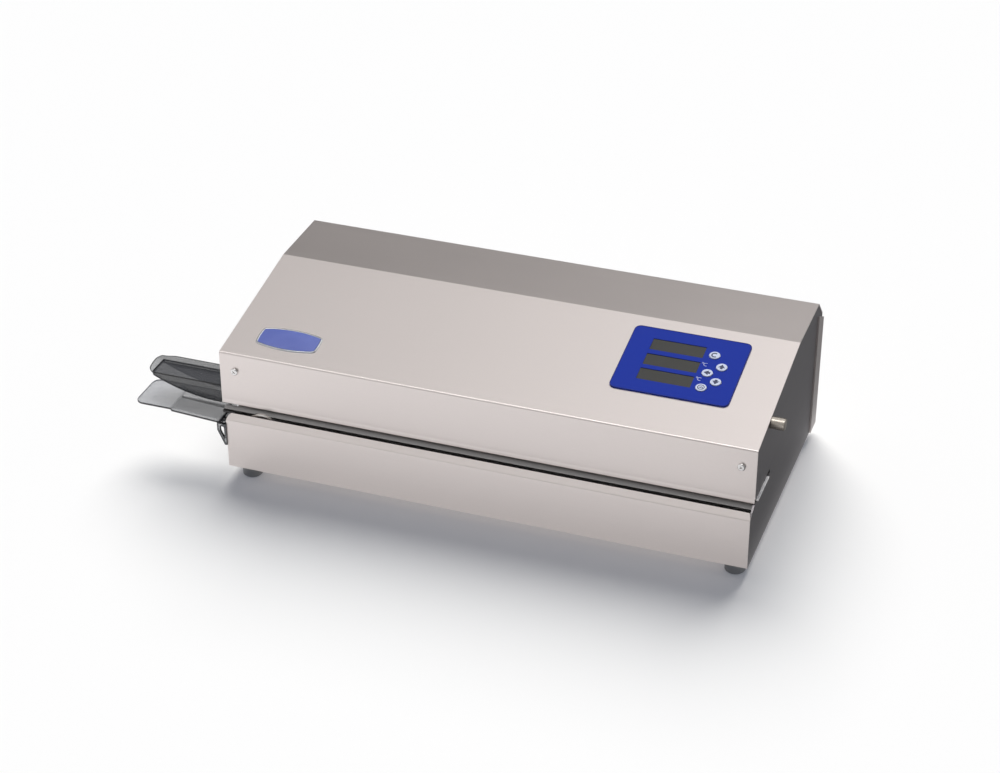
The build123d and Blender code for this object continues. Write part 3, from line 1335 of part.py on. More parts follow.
parts = {name: Compound(solids_of(part)) for name, part in machine().items()}
whole = Compound(list(parts.values())).bounding_box()
to_row = Pos(-(whole.min.X + whole.max.X) / 2, -(whole.min.Y + whole.max.Y) / 2, -whole.min.Z)

os.makedirs("parts", exist_ok=True)
for name, part in parts.items():
    export_step(to_row * part, f"parts/{name}.step")
print(len(parts), "nodes, size", whole.size)
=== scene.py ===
# %% [markdown]
# # A bench-top pouch sealer, dressed in Blender
# The machine is a folded stainless case with a slot along its front. Two belts inside carry the edge of
# a pouch past a heater, a cooler and a press roller. The solids, with every moving piece, come from a
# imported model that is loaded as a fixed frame. This lesson gives each piece its finish, models the few
# pieces that need softer shapes than the solids have, and builds a small white studio round them.

# %% Load the frame
import json
import math

import bmesh
import bpy
import numpy as np
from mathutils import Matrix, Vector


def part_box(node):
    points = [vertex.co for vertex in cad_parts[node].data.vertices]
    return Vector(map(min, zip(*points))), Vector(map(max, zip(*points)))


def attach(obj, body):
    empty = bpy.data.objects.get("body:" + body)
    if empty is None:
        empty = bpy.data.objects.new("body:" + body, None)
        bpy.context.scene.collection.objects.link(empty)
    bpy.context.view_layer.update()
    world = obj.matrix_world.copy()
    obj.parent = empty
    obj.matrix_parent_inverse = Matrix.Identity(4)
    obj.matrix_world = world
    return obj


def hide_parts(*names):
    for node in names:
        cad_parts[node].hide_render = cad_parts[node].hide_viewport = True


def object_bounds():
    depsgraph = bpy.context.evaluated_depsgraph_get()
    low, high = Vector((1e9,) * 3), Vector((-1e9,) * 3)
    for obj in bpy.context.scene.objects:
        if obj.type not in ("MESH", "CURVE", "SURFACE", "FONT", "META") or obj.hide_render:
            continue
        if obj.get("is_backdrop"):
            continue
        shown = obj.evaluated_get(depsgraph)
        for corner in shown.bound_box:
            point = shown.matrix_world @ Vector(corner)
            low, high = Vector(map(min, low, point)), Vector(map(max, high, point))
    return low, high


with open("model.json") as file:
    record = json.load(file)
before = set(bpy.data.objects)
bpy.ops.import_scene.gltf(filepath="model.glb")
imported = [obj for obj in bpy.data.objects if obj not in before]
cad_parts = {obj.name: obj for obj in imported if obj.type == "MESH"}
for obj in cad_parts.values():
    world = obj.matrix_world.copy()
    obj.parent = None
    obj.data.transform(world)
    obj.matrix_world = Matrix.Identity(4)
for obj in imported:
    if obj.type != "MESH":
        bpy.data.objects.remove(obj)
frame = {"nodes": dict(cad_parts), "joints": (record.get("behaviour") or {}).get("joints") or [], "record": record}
nodes = frame["nodes"]
box_at_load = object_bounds()

# %% [markdown]
# The places in this lesson are read from the frame. `low` and `high` give a node's corners in metres as
# arrays, and `middle` its centre. X runs along the slot, Y to the back and Z up. Sizes that the solids
# don't have are named in millimetres.

# %% Places
MM = 0.001


def low(node):
    """The lowest corner of a node's box, in metres."""
    return np.array(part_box(node)[0])


def high(node):
    """The highest corner of a node's box, in metres."""
    return np.array(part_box(node)[1])


def middle(node):
    """The centre of a node's box, in metres."""
    return (low(node) + high(node)) / 2


cover_low, cover_high = low("top_cover"), high("top_cover")
print("cover", np.round(cover_low, 4), np.round(cover_high, 4))

# %% [markdown]
# Shader arithmetic is easier to read as Python. `Expr` wraps one output socket; adding or multiplying
# two of them adds a Math node to the material and returns a new `Expr`. The reflected forms let plain
# numbers stand on the left, so `1 - mask` works.

# %% Expressions that build shader nodes
class Expr:
    """One value socket of a node tree, with arithmetic that adds Math nodes."""

    def __init__(self, network, socket):
        self.network = network
        self.socket = socket

    def math(self, operation, other=0.0, flip=False):
        pair = (other, self) if flip else (self, other)
        return self.network.node("Math", {"operation": operation}, {0: pair[0], 1: pair[1]})

    def __add__(self, other):
        return self.math("ADD", other)

    def __sub__(self, other):
        return self.math("SUBTRACT", other)

    def __rsub__(self, other):
        return self.math("SUBTRACT", other, flip=True)

    def __mul__(self, other):
        return self.math("MULTIPLY", other)

    __radd__ = __add__
    __rmul__ = __mul__

    def clamp(self):
        """The value held between 0 and 1."""
        return self.network.node("Clamp", {}, {"Value": self})


class Network:
    """A node tree under construction."""

    def __init__(self, tree):
        self.tree = tree

    def join(self, target, value):
        """Links an expression to a socket, or sets the socket to a plain value."""
        if isinstance(value, Expr):
            self.tree.links.new(value.socket, target)
        else:
            target.default_value = value

    def node(self, kind, settings, sockets, output=0):
        """Adds a node of a type: its settings first, then its sockets; returns one of its outputs."""
        added = self.tree.nodes.new("ShaderNode" + kind)
        for key, value in settings.items():
            setattr(added, key, value)
        for key, value in sockets.items():
            self.join(added.inputs[key], value)
        return Expr(self, added.outputs[output])

    def mix(self, share, first, second):
        """A colour between two colours."""
        ends = [end if isinstance(end, Expr) else (*end, 1.0) for end in (first, second)]
        return self.node("Mix", {"data_type": "RGBA"}, {0: share, 6: ends[0], 7: ends[1]}, 2)

    def place(self):
        """Object coordinates in metres: for pieces at the origin, the place in the machine."""
        return self.node("TexCoord", {}, {}, "Object")

    def stretched(self, scale):
        """Object coordinates scaled along each axis."""
        return self.node("Mapping", {}, {"Vector": self.place(), "Scale": scale})

    def noise(self, scale, detail=2.0, vector=None, roughness=0.5):
        """Noise from 0 to 1 at a scale in cycles per metre."""
        sockets = {"Vector": vector or self.place(), "Scale": scale, "Detail": detail,
                   "Roughness": roughness}
        return self.node("TexNoise", {}, sockets)


class Finish(Network):
    """A material under construction: a Principled shader and the nodes that feed it."""

    def __init__(self, name, colour, roughness, metallic=0.0, **fixed):
        self.material = bpy.data.materials.new(name)
        self.material.use_nodes = True
        super().__init__(self.material.node_tree)
        self.shader = self.tree.nodes["Principled BSDF"]
        self.put("Base Color", (*colour, 1.0))
        self.put("Roughness", roughness)
        self.put("Metallic", metallic)
        for socket, value in fixed.items():
            self.put(socket.replace("_", " "), value)

    def put(self, socket, value):
        """Sets a socket of the main shader, or links an expression to it."""
        self.join(self.shader.inputs[socket], value)

    def bump(self, height, strength, distance):
        """Feeds a height into the shader's normal."""
        sockets = {"Height": height, "Strength": strength, "Distance": distance}
        self.put("Normal", self.node("Bump", {}, sockets))

    def give(self, *names):
        """Puts the finished material on CAD nodes."""
        for name in names:
            slots = nodes[name].data.materials
            slots.clear()
            slots.append(self.material)
        return self.material

# %% [markdown]
# The record names a finish slot for every solid, so one call can dress all the pieces of a slot. A
# drawn number that each finish shares is `STREAK`: brushed lines on sheet metal are long and thin, so
# the pattern is squeezed along one axis only.

# %% Finish slots
slot_of = {part["node"]: part["material_slot"] for part in frame["record"]["subparts"]}
finishes = {}


def dress(slot_name, finish):
    """Puts a finish on every CAD node of a slot and keeps it for pieces made later."""
    finish.give(*[name for name, used in slot_of.items() if used == slot_name])
    finishes[slot_name] = finish


# %% [markdown]
# The case is stainless sheet with a fine brushed finish. Rolled and brushed steel has lines along the
# sheet, a slight unevenness of tone at the scale of a hand, and a satin gloss. Noise stretched along X
# draws the lines, a slow noise moves the tone, and both feed the colour and the roughness. A real
# surface normal is only touched lightly, because brushing is far finer than a millimetre.

# %% Brushed stainless
STREAK = (6.0, 900.0, 900.0)


def brushed(name, colour, roughness, streak=STREAK, contrast=0.05, metallic=1.0):
    """Sheet metal with brushed lines: fine streaks and a slow drift change colour and roughness."""
    finish = Finish(name, colour, roughness, metallic)
    lines = finish.noise(1.0, 3.0, finish.stretched(streak))
    drift = finish.noise(9.0, 2.0)
    speck = finish.noise(1400.0, 1.0)
    tone = (lines - 0.5) * contrast + (drift - 0.5) * 0.06 + (speck - 0.5) * 0.10
    dark = tuple(0.8 * part for part in colour)
    pale = tuple(min(1.0, 1.2 * part) for part in colour)
    finish.put("Base Color", finish.mix((tone + 0.5).clamp(), dark, pale))
    finish.put("Roughness", (roughness + (lines - 0.5) * 0.10 + (drift - 0.5) * 0.04).clamp())
    finish.bump(lines, 0.02, 0.2 * MM)
    return finish


case_steel = brushed("stainless_case", (0.785, 0.719, 0.694), 0.34)
# The side plates' steel is darker than the case's: partly a darker satin steel of its own, partly painted shade
# for the side turned away from the lamp.
side_steel_dark_and_shaded = brushed("stainless_sides_dark_and_shaded", (0.292, 0.276, 0.288), 0.42, streak=(900.0, 6.0, 900.0))
dress("stainless", case_steel)
side_steel_dark_and_shaded.give("left_side_plate", "right_side_plate")
# Painted shade: the guide plate's steel is darker than the case's, for its place in the slot under the cover's
# lip.
dress("guide_steel", brushed("guide_steel", (0.32, 0.31, 0.308), 0.34))
dress("mechanism_zinc", brushed("zinc_plate", (0.50, 0.51, 0.50), 0.42, contrast=0.12))
dress("spring_steel", brushed("spring_steel", (0.46, 0.46, 0.47), 0.32, streak=(300.0, 300.0, 300.0)))
print("sheet metal finishes:", len(finishes))

# %% [markdown]
# Turned parts such as screws, the knob, shafts and rollers show rings left by the lathe. The rings
# are planes across the part's axis, so a noise squeezed along that axis draws them without any UV map.

# %% Turned and machined metal
def turned(name, colour, roughness, axis, metallic=1.0, pitch=1800.0):
    """Lathe-turned metal: fine rings across an axis in tone and roughness."""
    finish = Finish(name, colour, roughness, metallic)
    scale = [60.0, 60.0, 60.0]
    scale["XYZ".index(axis)] = pitch
    rings = finish.noise(1.0, 2.0, finish.stretched(tuple(scale)))
    tarnish = finish.noise(140.0, 3.0)
    dark = tuple(0.72 * part for part in colour)
    finish.put("Base Color", finish.mix(((rings - 0.5) * 0.8 + tarnish * 0.7).clamp(), dark, colour))
    finish.put("Roughness", (roughness + (rings - 0.5) * 0.16 + (tarnish - 0.5) * 0.1).clamp())
    finish.bump(rings, 0.10, 0.05 * MM)
    return finish


dress("screw_steel", turned("screw_steel", (0.95, 0.93, 0.92), 0.16, "Z"))
dress("knob_nickel", turned("knob_nickel", (0.66, 0.60, 0.53), 0.30, "X"))
dress("wheel_steel", turned("wheel_aluminium", (0.80, 0.79, 0.77), 0.25, "Y"))
dress("roller_steel", turned("roller_steel", (0.62, 0.62, 0.63), 0.35, "Y", pitch=900.0))
dress("shaft_steel", turned("shaft_steel", (0.66, 0.66, 0.67), 0.2, "Y"))
dress("bush_brass", turned("bush_bronze", (0.55, 0.36, 0.17), 0.38, "Y"))
dress("standoff_brass", turned("standoff_brass", (0.70, 0.53, 0.25), 0.3, "Z"))
dress("heater_brass", turned("heater_brass", (0.60, 0.44, 0.20), 0.4, "X", pitch=700.0))
dress("coupling_aluminium", turned("machined_aluminium", (0.72, 0.73, 0.74), 0.34, "Y", pitch=900.0))
dress("grille_wire", turned("plated_wire", (0.70, 0.70, 0.71), 0.25, "Y", pitch=400.0))

# %% [markdown]
# Moulded plastic and rubber have no brushing. What makes them real is a fine spark-eroded grain in the
# surface, a slightly uneven gloss, and a mottled tone. One function covers them, with grain depth and
# gloss set for each material.

# %% Moulded plastics and rubber
def moulded(name, colour, roughness, grain=0.15, cells=900.0, mottle=0.10, coat=0.0):
    """Moulded surface: cellular grain in the bump, with mottled tone and gloss."""
    finish = Finish(name, colour, roughness, 0.0, Coat_Weight=coat)
    texture = finish.noise(cells, 3.0, roughness=0.65)
    cloud = finish.noise(35.0, 3.0)
    dark = tuple(part * (1 - 1.5 * mottle) for part in colour)
    pale = tuple(min(1.0, part * (1 + 1.5 * mottle) + 0.2 * mottle * roughness) for part in colour)
    finish.put("Base Color", finish.mix((cloud * 0.7 + texture * 0.3).clamp(), dark, pale))
    finish.put("Roughness", (roughness + (cloud - 0.5) * 0.12).clamp())
    finish.bump(texture, grain, 0.08 * MM)
    return finish


dress("foot_rubber", moulded("foot_rubber", (0.30, 0.305, 0.32), 0.62, grain=0.3))
dress("pulley_rubber", moulded("pulley_rubber", (0.05, 0.05, 0.052), 0.7, grain=0.4))
dress("gear_nylon", moulded("gear_nylon", (0.62, 0.61, 0.55), 0.45))
dress("motor_grey", moulded("motor_can", (0.20, 0.205, 0.21), 0.38))
dress("fan_black", moulded("fan_black", (0.03, 0.03, 0.032), 0.45))
dress("inlet_black", moulded("inlet_black", (0.035, 0.035, 0.038), 0.4, grain=0.25))
dress("display_black", moulded("display_black", (0.025, 0.026, 0.025), 0.35))
dress("board_green", moulded("circuit_board", (0.03, 0.16, 0.07), 0.35, cells=300.0, mottle=0.3))

# %% [markdown]
# The sealing belts are glass cloth coated with a slippery brown film, so a plain weave shows under the
# gloss. Two sine waves at right angles, one along the belt and one across it, give the weave.

# %% Belt cloth
def woven(name, colour, roughness, threads):
    """Coated cloth: crossed waves along X and Y stand for warp and weft."""
    finish = Finish(name, colour, roughness, 0.0)
    wave = {"wave_type": "BANDS", "bands_direction": "X"}
    warp = finish.node("TexWave", wave, {"Vector": finish.place(), "Scale": threads})
    weft = finish.node("TexWave", dict(wave, bands_direction="Y"),
                       {"Vector": finish.place(), "Scale": threads})
    weave = warp * 0.5 + weft * 0.5
    dark = tuple(0.6 * part for part in colour)
    finish.put("Base Color", finish.mix((weave * 0.6 + finish.noise(60.0) * 0.4).clamp(), dark, colour))
    finish.put("Roughness", (roughness + (weave - 0.5) * 0.1).clamp())
    finish.bump(weave, 0.2, 0.1 * MM)
    return finish


dress("belt_brown", woven("belt_cloth", (0.24, 0.15, 0.08), 0.35, 180.0))
print("slots dressed so far:", sorted(finishes))

# %% [markdown]
# The guard and the tray are clear acrylic. Seen through the face a sheet looks like light smoke, but
# its cut edges look almost black, because there the light travels a long way inside. Each acrylic
# piece therefore carries a number called `edge_and_painted_shade` on its vertices, 1 on a cut edge and 0
# on a face, and the finish turns it into more colour and less see-through. On the tray the same number
# also holds painted shade in the pocket.

# %% Smoked and clear acrylic
def acrylic(name, colour, alpha, edge_alpha, roughness=0.08, edge_shade=0.25):
    """Clear plastic: alpha rises and colour darkens with the piece's edge-and-painted-shade number."""
    finish = Finish(name, colour, roughness, 0.0)
    edge_and_painted_shade = finish.node("Attribute", {"attribute_name": "edge_and_painted_shade"}, {}, "Fac")
    haze = finish.noise(40.0, 2.0)
    dark = tuple(edge_shade * part for part in colour)
    finish.put("Base Color", finish.mix(edge_and_painted_shade.clamp(), colour, dark))
    finish.put("Alpha", (alpha + edge_and_painted_shade * (edge_alpha - alpha) + (haze - 0.5) * 0.05).clamp())
    finish.put("Roughness", (roughness + haze * 0.05).clamp())
    return finish


smoke = acrylic("smoked_acrylic", (0.074, 0.076, 0.083), 0.74, 0.98, edge_shade=0.12)
clear = acrylic("clear_acrylic", (0.365, 0.373, 0.40), 0.445, 0.97, edge_shade=0.03)
bracket_clear = acrylic("bracket_acrylic", (0.17, 0.175, 0.185), 0.62, 0.97)
dress("guard_smoke", smoke)
dress("tray_clear", bracket_clear)
window = acrylic("display_window", (0.056, 0.055, 0.050), 0.93, 0.97, 0.16)
window.put("Specular IOR Level", 0.2)
dress("display_smoke", window)

# %% [markdown]
# New pieces are grids of points worked out with numpy. `grid_faces` joins neighbouring points with
# four-sided faces, and `fill_mesh` makes an object from them. `tube` carries a closed outline along a
# path and caps both ends. `keep` gives a piece its finish and its body.

# %% Building pieces from grids
def grid_faces(rows, columns, wrap_columns=False):
    """Indices of the quads between neighbouring points of a grid, as an array of four columns."""
    row = np.arange(rows - 1)[:, None]
    column = np.arange(columns if wrap_columns else columns - 1)[None, :]
    ahead = (column + 1) % columns
    corners = (row * columns + column, row * columns + ahead, (row + 1) * columns + ahead,
               (row + 1) * columns + column)
    return np.stack([np.broadcast_to(c, (rows - 1, column.size)) for c in corners], -1).reshape(-1, 4)


def fill_mesh(name, points, faces):
    """A mesh object from a flat list of points and a list of faces of any size."""
    mesh = bpy.data.meshes.new(name)
    mesh.from_pydata(np.asarray(points).reshape(-1, 3).tolist(), [], [list(map(int, f)) for f in faces])
    mesh.validate()
    piece = bpy.data.objects.new(name, mesh)
    bpy.context.scene.collection.objects.link(piece)
    return piece


def tube(name, sections):
    """A closed outline carried along a path: sections has shape steps x outline points x 3."""
    steps, around = sections.shape[:2]
    faces = grid_faces(steps, around, wrap_columns=True).tolist()
    faces += [list(range(around))[::-1], list(range((steps - 1) * around, steps * around))]
    return fill_mesh(name, sections, faces)


def outward(piece):
    """Turns every face of a closed piece outwards."""
    shape = bmesh.new()
    shape.from_mesh(piece.data)
    bmesh.ops.recalc_face_normals(shape, faces=shape.faces)
    shape.to_mesh(piece.data)
    shape.free()


def keep(piece, body, finish, smooth=35.0):
    """Gives a piece its finish and its body; faces meeting under an angle shade smoothly."""
    outward(piece)
    piece.data.materials.append(finish.material)
    piece.data.shade_smooth()
    piece.data.set_sharp_from_angle(angle=math.radians(smooth))
    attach(piece, body)
    return piece


def mark_edge_and_painted_shade(piece, values):
    """Stores the edge-and-painted-shade number of each vertex: cut edges, and painted shade where a piece has it.
    """
    store = piece.data.attributes.new("edge_and_painted_shade", "FLOAT", "POINT")
    store.data.foreach_set("value", np.asarray(values, dtype=np.float32).ravel())

# %% [markdown]
# Outlines with rounded corners come up again and again. `rounded` replaces each corner of a polygon
# with a short arc: the arc's centre lies on the corner's bisector, at the distance where a circle of
# the given radius touches both sides.

# %% Rounded outlines
def rounded(corners, radii, steps=6):
    """A closed polygon with each corner turned into an arc of its radius."""
    corners = np.asarray(corners, float)
    radii = np.broadcast_to(np.asarray(radii, float), len(corners))
    arcs = []
    befores, afters = np.roll(corners, 1, 0), np.roll(corners, -1, 0)
    for here, before, after, radius in zip(corners, befores, afters, radii):
        back = (before - here) / np.linalg.norm(before - here)
        ahead = (after - here) / np.linalg.norm(after - here)
        half = math.acos(np.clip(back @ ahead, -1, 1)) / 2
        reach = radius / math.tan(half)
        start, end = here + back * reach, here + ahead * reach
        centre = here + (back + ahead) / np.linalg.norm(back + ahead) * radius / math.sin(half)
        share = np.linspace(0, 1, steps)[:, None]
        chord = (start - centre) * (1 - share) + (end - centre) * share
        arcs.append(centre + chord / np.linalg.norm(chord, axis=1, keepdims=True) * radius)
    return np.concatenate(arcs)


print("helpers ready")

# %% [markdown]
# The infeed guard is a moulded hood: a channel open below whose walls rise like a boat's bow towards
# the nose. Its section is the same inverted U all along, and only the height of the walls changes with
# X. So the shape is that one section carried along X, with its lower corners moved onto the bow.

# %% The guard's hood
guard_low, guard_high = low("infeed_guard"), high("infeed_guard")
side_x = low("left_side_plate")[0]
cover_x = cover_low[0]
WALL = 1.8 * MM
UPSTAND = 5.8 * MM
FLARE = 6.0 * MM
FLANGE_RISE = 16.0 * MM
NOSE_DROP = 1.5 * WALL
BELLY = 18.4 * MM
nose_x = guard_low[0] + FLARE
plate_top = guard_high[2] - FLANGE_RISE
skirt = plate_top - guard_low[2]
front_y, back_y = guard_low[1], guard_high[1]


def bow(x):
    """Height of the walls' lower edge: nearly level beside the case, then curving up to the nose."""
    share = np.clip((cover_x - x) / (cover_x - nose_x), 0, 1)
    drop = skirt * (1 - share) + NOSE_DROP * share + BELLY * share * (1 - share)
    return plate_top - np.minimum(drop, skirt)


def finer(outline, step=0.8 * MM):
    """The outline with two more points on each side, so that marked edge lines stay narrow."""
    ahead = np.roll(outline, -1, 0)
    share = np.minimum(step / np.linalg.norm(ahead - outline, axis=1), 1 / 3)[:, None]
    side = ahead - outline
    return np.stack([outline, outline + side * share, ahead - side * share], 1).reshape(-1, 2)


def hood_section(x):
    """The inverted U at one x, as a closed outline of (y, z) points."""
    foot = bow(x)
    end = np.clip((x - nose_x) / (2.5 * MM), 0, 1)
    inset = 2.5 * MM * (1 - math.sqrt(1 - (1 - end) ** 2))
    y0, y1 = front_y + inset, back_y - inset
    roof = plate_top - WALL
    corners = [(y0, foot), (y0, plate_top), (y1, plate_top), (y1, foot), (y1 - WALL, foot),
               (y1 - WALL, roof), (y0 + WALL, roof), (y0 + WALL, foot)]
    radii = [0.4, 1.0, 1.0, 0.4, 0.4, 0.3, 0.3, 0.4]
    return finer(rounded(corners, np.array(radii) * MM))


hood_x = np.concatenate([np.linspace(side_x - 0.2 * MM, nose_x + 2.5 * MM, 60),
                         nose_x + 2.5 * MM * (1 - np.sin(np.linspace(0.1, 1.0, 10) * math.pi / 2))])
hood_sections = np.array([[(x, y, z) for y, z in hood_section(x)] for x in hood_x])
hood = tube("guard_hood", hood_sections)
hood_y, hood_z = hood_sections[..., 1], hood_sections[..., 2]
at_foot = hood_z - np.array([bow(x) for x in hood_x])[:, None] < 0.7 * MM
at_front_fold = np.abs(hood_y - front_y) + np.abs(hood_z - plate_top) < 0.9 * MM
at_nose = np.broadcast_to(hood_x[:, None] < nose_x + 1.4 * MM, at_foot.shape)
mark_edge_and_painted_shade(hood, np.clip(at_foot * 1.0 + at_front_fold * 0.9 + at_nose * 1.0, 0, 1))
keep(hood, "case", smoke)
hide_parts("infeed_guard")
print("hood points:", hood_sections.shape[:2])

# %% [markdown]
# A raised lip runs along the roof's back edge and turns round the nose. Along the back it stands
# straight up. Round the nose it spreads outwards like the rim of a shell and sinks to nothing at the
# front corner. It is a thin wall, so each step of the path has a narrow rounded section: a foot on the
# roof's edge and a top that is shifted by how far the lip leans and rises there.

# %% The guard's lip
def smooth_step(value, start, end):
    """0 at start, 1 at end, held beyond both, and an S-shaped rise between them."""
    share = np.clip((value - start) / (end - start), 0, 1)
    return share * share * (3 - 2 * share)


def lip_path():
    """Feet of the lip as (x, y), with how far it leans out and how high it rises at each."""
    along = np.linspace(0, 1, 40)
    back = np.stack([side_x - 0.2 * MM + (nose_x - side_x + 0.2 * MM) * along, np.full(40, back_y)], 1)
    to_corner = smooth_step(back[:, 0], nose_x + 16 * MM, nose_x)
    across = np.linspace(0, 1, 40)[1:]
    nose = np.stack([np.full(39, nose_x), back_y - (back_y - front_y) * across], 1)
    lean = np.concatenate([0.5 * MM * to_corner, 0.5 * MM * (1 - across)
                           + (FLARE - 0.8 * MM) * (1 - (2 * across - 1) ** 4)])
    rise = np.concatenate([UPSTAND - 2.1 * MM * to_corner, (UPSTAND - 2.1 * MM) * (1 - across) ** 0.75])
    return np.concatenate([back, nose]), lean, rise


feet_xy, lean, rise = lip_path()
on_nose = np.linspace(0, 1, len(feet_xy)) > 0.5
corner_turn = smooth_step(np.arange(len(feet_xy)), 36, 44) * math.pi / 2
outwards = np.stack([-np.sin(corner_turn), np.cos(corner_turn)], 1)
# Section points: how deep into the wall and how far up, from the inner foot round to the outer foot.
DEPTH = np.array([1.0, 1.0, 1.0, 1.0, 0.75, 0.25, 0.0, 0.0, 0.0, 0.0])
UP = np.array([0.0, 0.15, 0.5, 0.9, 1.0, 1.0, 0.9, 0.5, 0.15, 0.0])
lip_xy = (feet_xy[:, None, :] + outwards[:, None, :]
          * (lean[:, None, None] * UP[None, :, None] - 0.8 * WALL * DEPTH[None, :, None]))
lip_z = plate_top - 0.4 * WALL + UP[None, :] * (rise[:, None] + 0.4 * WALL)
lip = tube("guard_lip", np.concatenate([lip_xy, lip_z[..., None]], -1))
foot_edge = np.where(on_nose[:, None], 1.0, 0.9) * (UP[None, :] < 0.1)
mark_edge_and_painted_shade(lip, np.clip(foot_edge + 0.85 * (UP[None, :] > 0.95), 0, 1))
pale_smoke = acrylic("pale_smoke", (0.20, 0.205, 0.215), 0.50, 0.96, edge_shade=0.06)
keep(lip, "case", pale_smoke)
print("lip rises and leans", np.round((rise.max() / MM, lean.max() / MM), 1), "mm")

# %% [markdown]
# The guard is held by a small flange behind the cover's end, with two screws into the side plate. It
# is a rounded rectangle with thickness, so a prism of an outline is enough. `prism` carries any closed
# outline straight from one plane to another, with its rim slightly drawn in at both ends so that the
# edges catch light.

# %% Prisms with softened edges
def prism(name, outline, place, low_end, high_end, soften=0.3 * MM):
    """An outline of (a, b) points between two heights; place(a, b, h) says where a point lies."""
    centre = outline.mean(0)
    away = outline - centre
    away /= np.linalg.norm(away, axis=1, keepdims=True)
    rims = [(low_end, soften), (low_end + soften, 0.0), (high_end - soften, 0.0), (high_end, soften)]
    rings = [place(*(outline - away * inset).T, np.full(len(outline), height)) for height, inset in rims]
    return tube(name, np.stack(rings))


def ring(name, sections):
    """Sections carried round a closed path, so the last step joins the first."""
    steps, around = sections.shape[:2]
    faces = grid_faces(steps, around, wrap_columns=True)
    join = np.arange(around)
    ahead = (join + 1) % around
    last = (steps - 1) * around
    closing = np.stack([last + join, last + ahead, ahead, join], -1)
    return fill_mesh(name, sections, np.concatenate([faces, closing]))


def across_x(y, z, x):
    """A prism's place when it runs along X."""
    return np.stack([x, y, z], -1)


flange_corners = [(front_y, plate_top - WALL), (back_y, plate_top - WALL), (back_y, guard_high[2]),
                  (front_y, guard_high[2])]
flange = prism("guard_flange", rounded(flange_corners, 2 * MM), across_x, side_x - 2 * MM, side_x)
mark_edge_and_painted_shade(flange, np.full(len(flange.data.vertices), 0.3))
keep(flange, "case", smoke)

# %% [markdown]
# The tray is one clear sheet: a level leaf with a pocket let in beside the case, whose floor falls
# towards the machine. A height map fits that: the top is a grid over X and Y whose height drops by a
# smooth step inside the pocket, and its outline follows the rounded outer corners. The underside is
# the same grid one thickness lower, and a band of quads closes the sides.

# %% The tray
tray_low, tray_high = low("infeed_tray"), high("infeed_tray")
bracket_low, bracket_high = low("tray_bracket"), high("tray_bracket")
TRAY_CORNER = 8.0 * MM
TRAY_SHEET = 1.8 * MM
POCKET_X = cover_x - 45.0 * MM
POCKET_END = bracket_low[0] + 3.0 * MM
POCKET_BACK = tray_low[1] + 23.2 * MM
POCKET_DEPTH = 1.7 * MM
EDGE = 0.4 * MM
floor_end = tray_low[2] + TRAY_SHEET


def tray_top(x, y):
    """Height of the tray's top: level, with the sloping pocket let in."""
    share = np.clip((x - POCKET_X) / (POCKET_END - POCKET_X), 0, 1)
    depth = POCKET_DEPTH + (tray_high[2] - floor_end - POCKET_DEPTH) * share
    along = smooth_step(x, POCKET_X - 0.6 * MM, POCKET_X + 0.6 * MM)
    return tray_high[2] - depth * along * (1 - smooth_step(y, POCKET_BACK, POCKET_BACK + 0.8 * MM))


def tray_grid(inset):
    """X and Y of a grid that fills the tray's outline, drawn in by an inset."""
    fine = np.concatenate([np.linspace(tray_low[0] + inset, tray_low[0] + TRAY_CORNER, 12)[:-1],
                           np.linspace(tray_low[0] + TRAY_CORNER, POCKET_X - 4 * MM, 12)[:-1],
                           np.linspace(POCKET_X - 4 * MM, POCKET_X + 4 * MM, 25)[:-1],
                           np.linspace(POCKET_X + 4 * MM, POCKET_END - inset, 16)])
    share = np.linspace(0, 1, 111)
    reach = np.clip((tray_low[0] + TRAY_CORNER - fine) / (TRAY_CORNER - inset), 0, 1)
    drawn = inset + (TRAY_CORNER - inset) * (1 - np.sqrt(np.clip(1 - reach ** 2, 0, 1)))
    front, back = tray_low[1] + drawn, tray_high[1] - drawn
    x = np.repeat(fine[:, None], len(share), 1)
    return x, front[:, None] + (back - front)[:, None] * share[None, :]


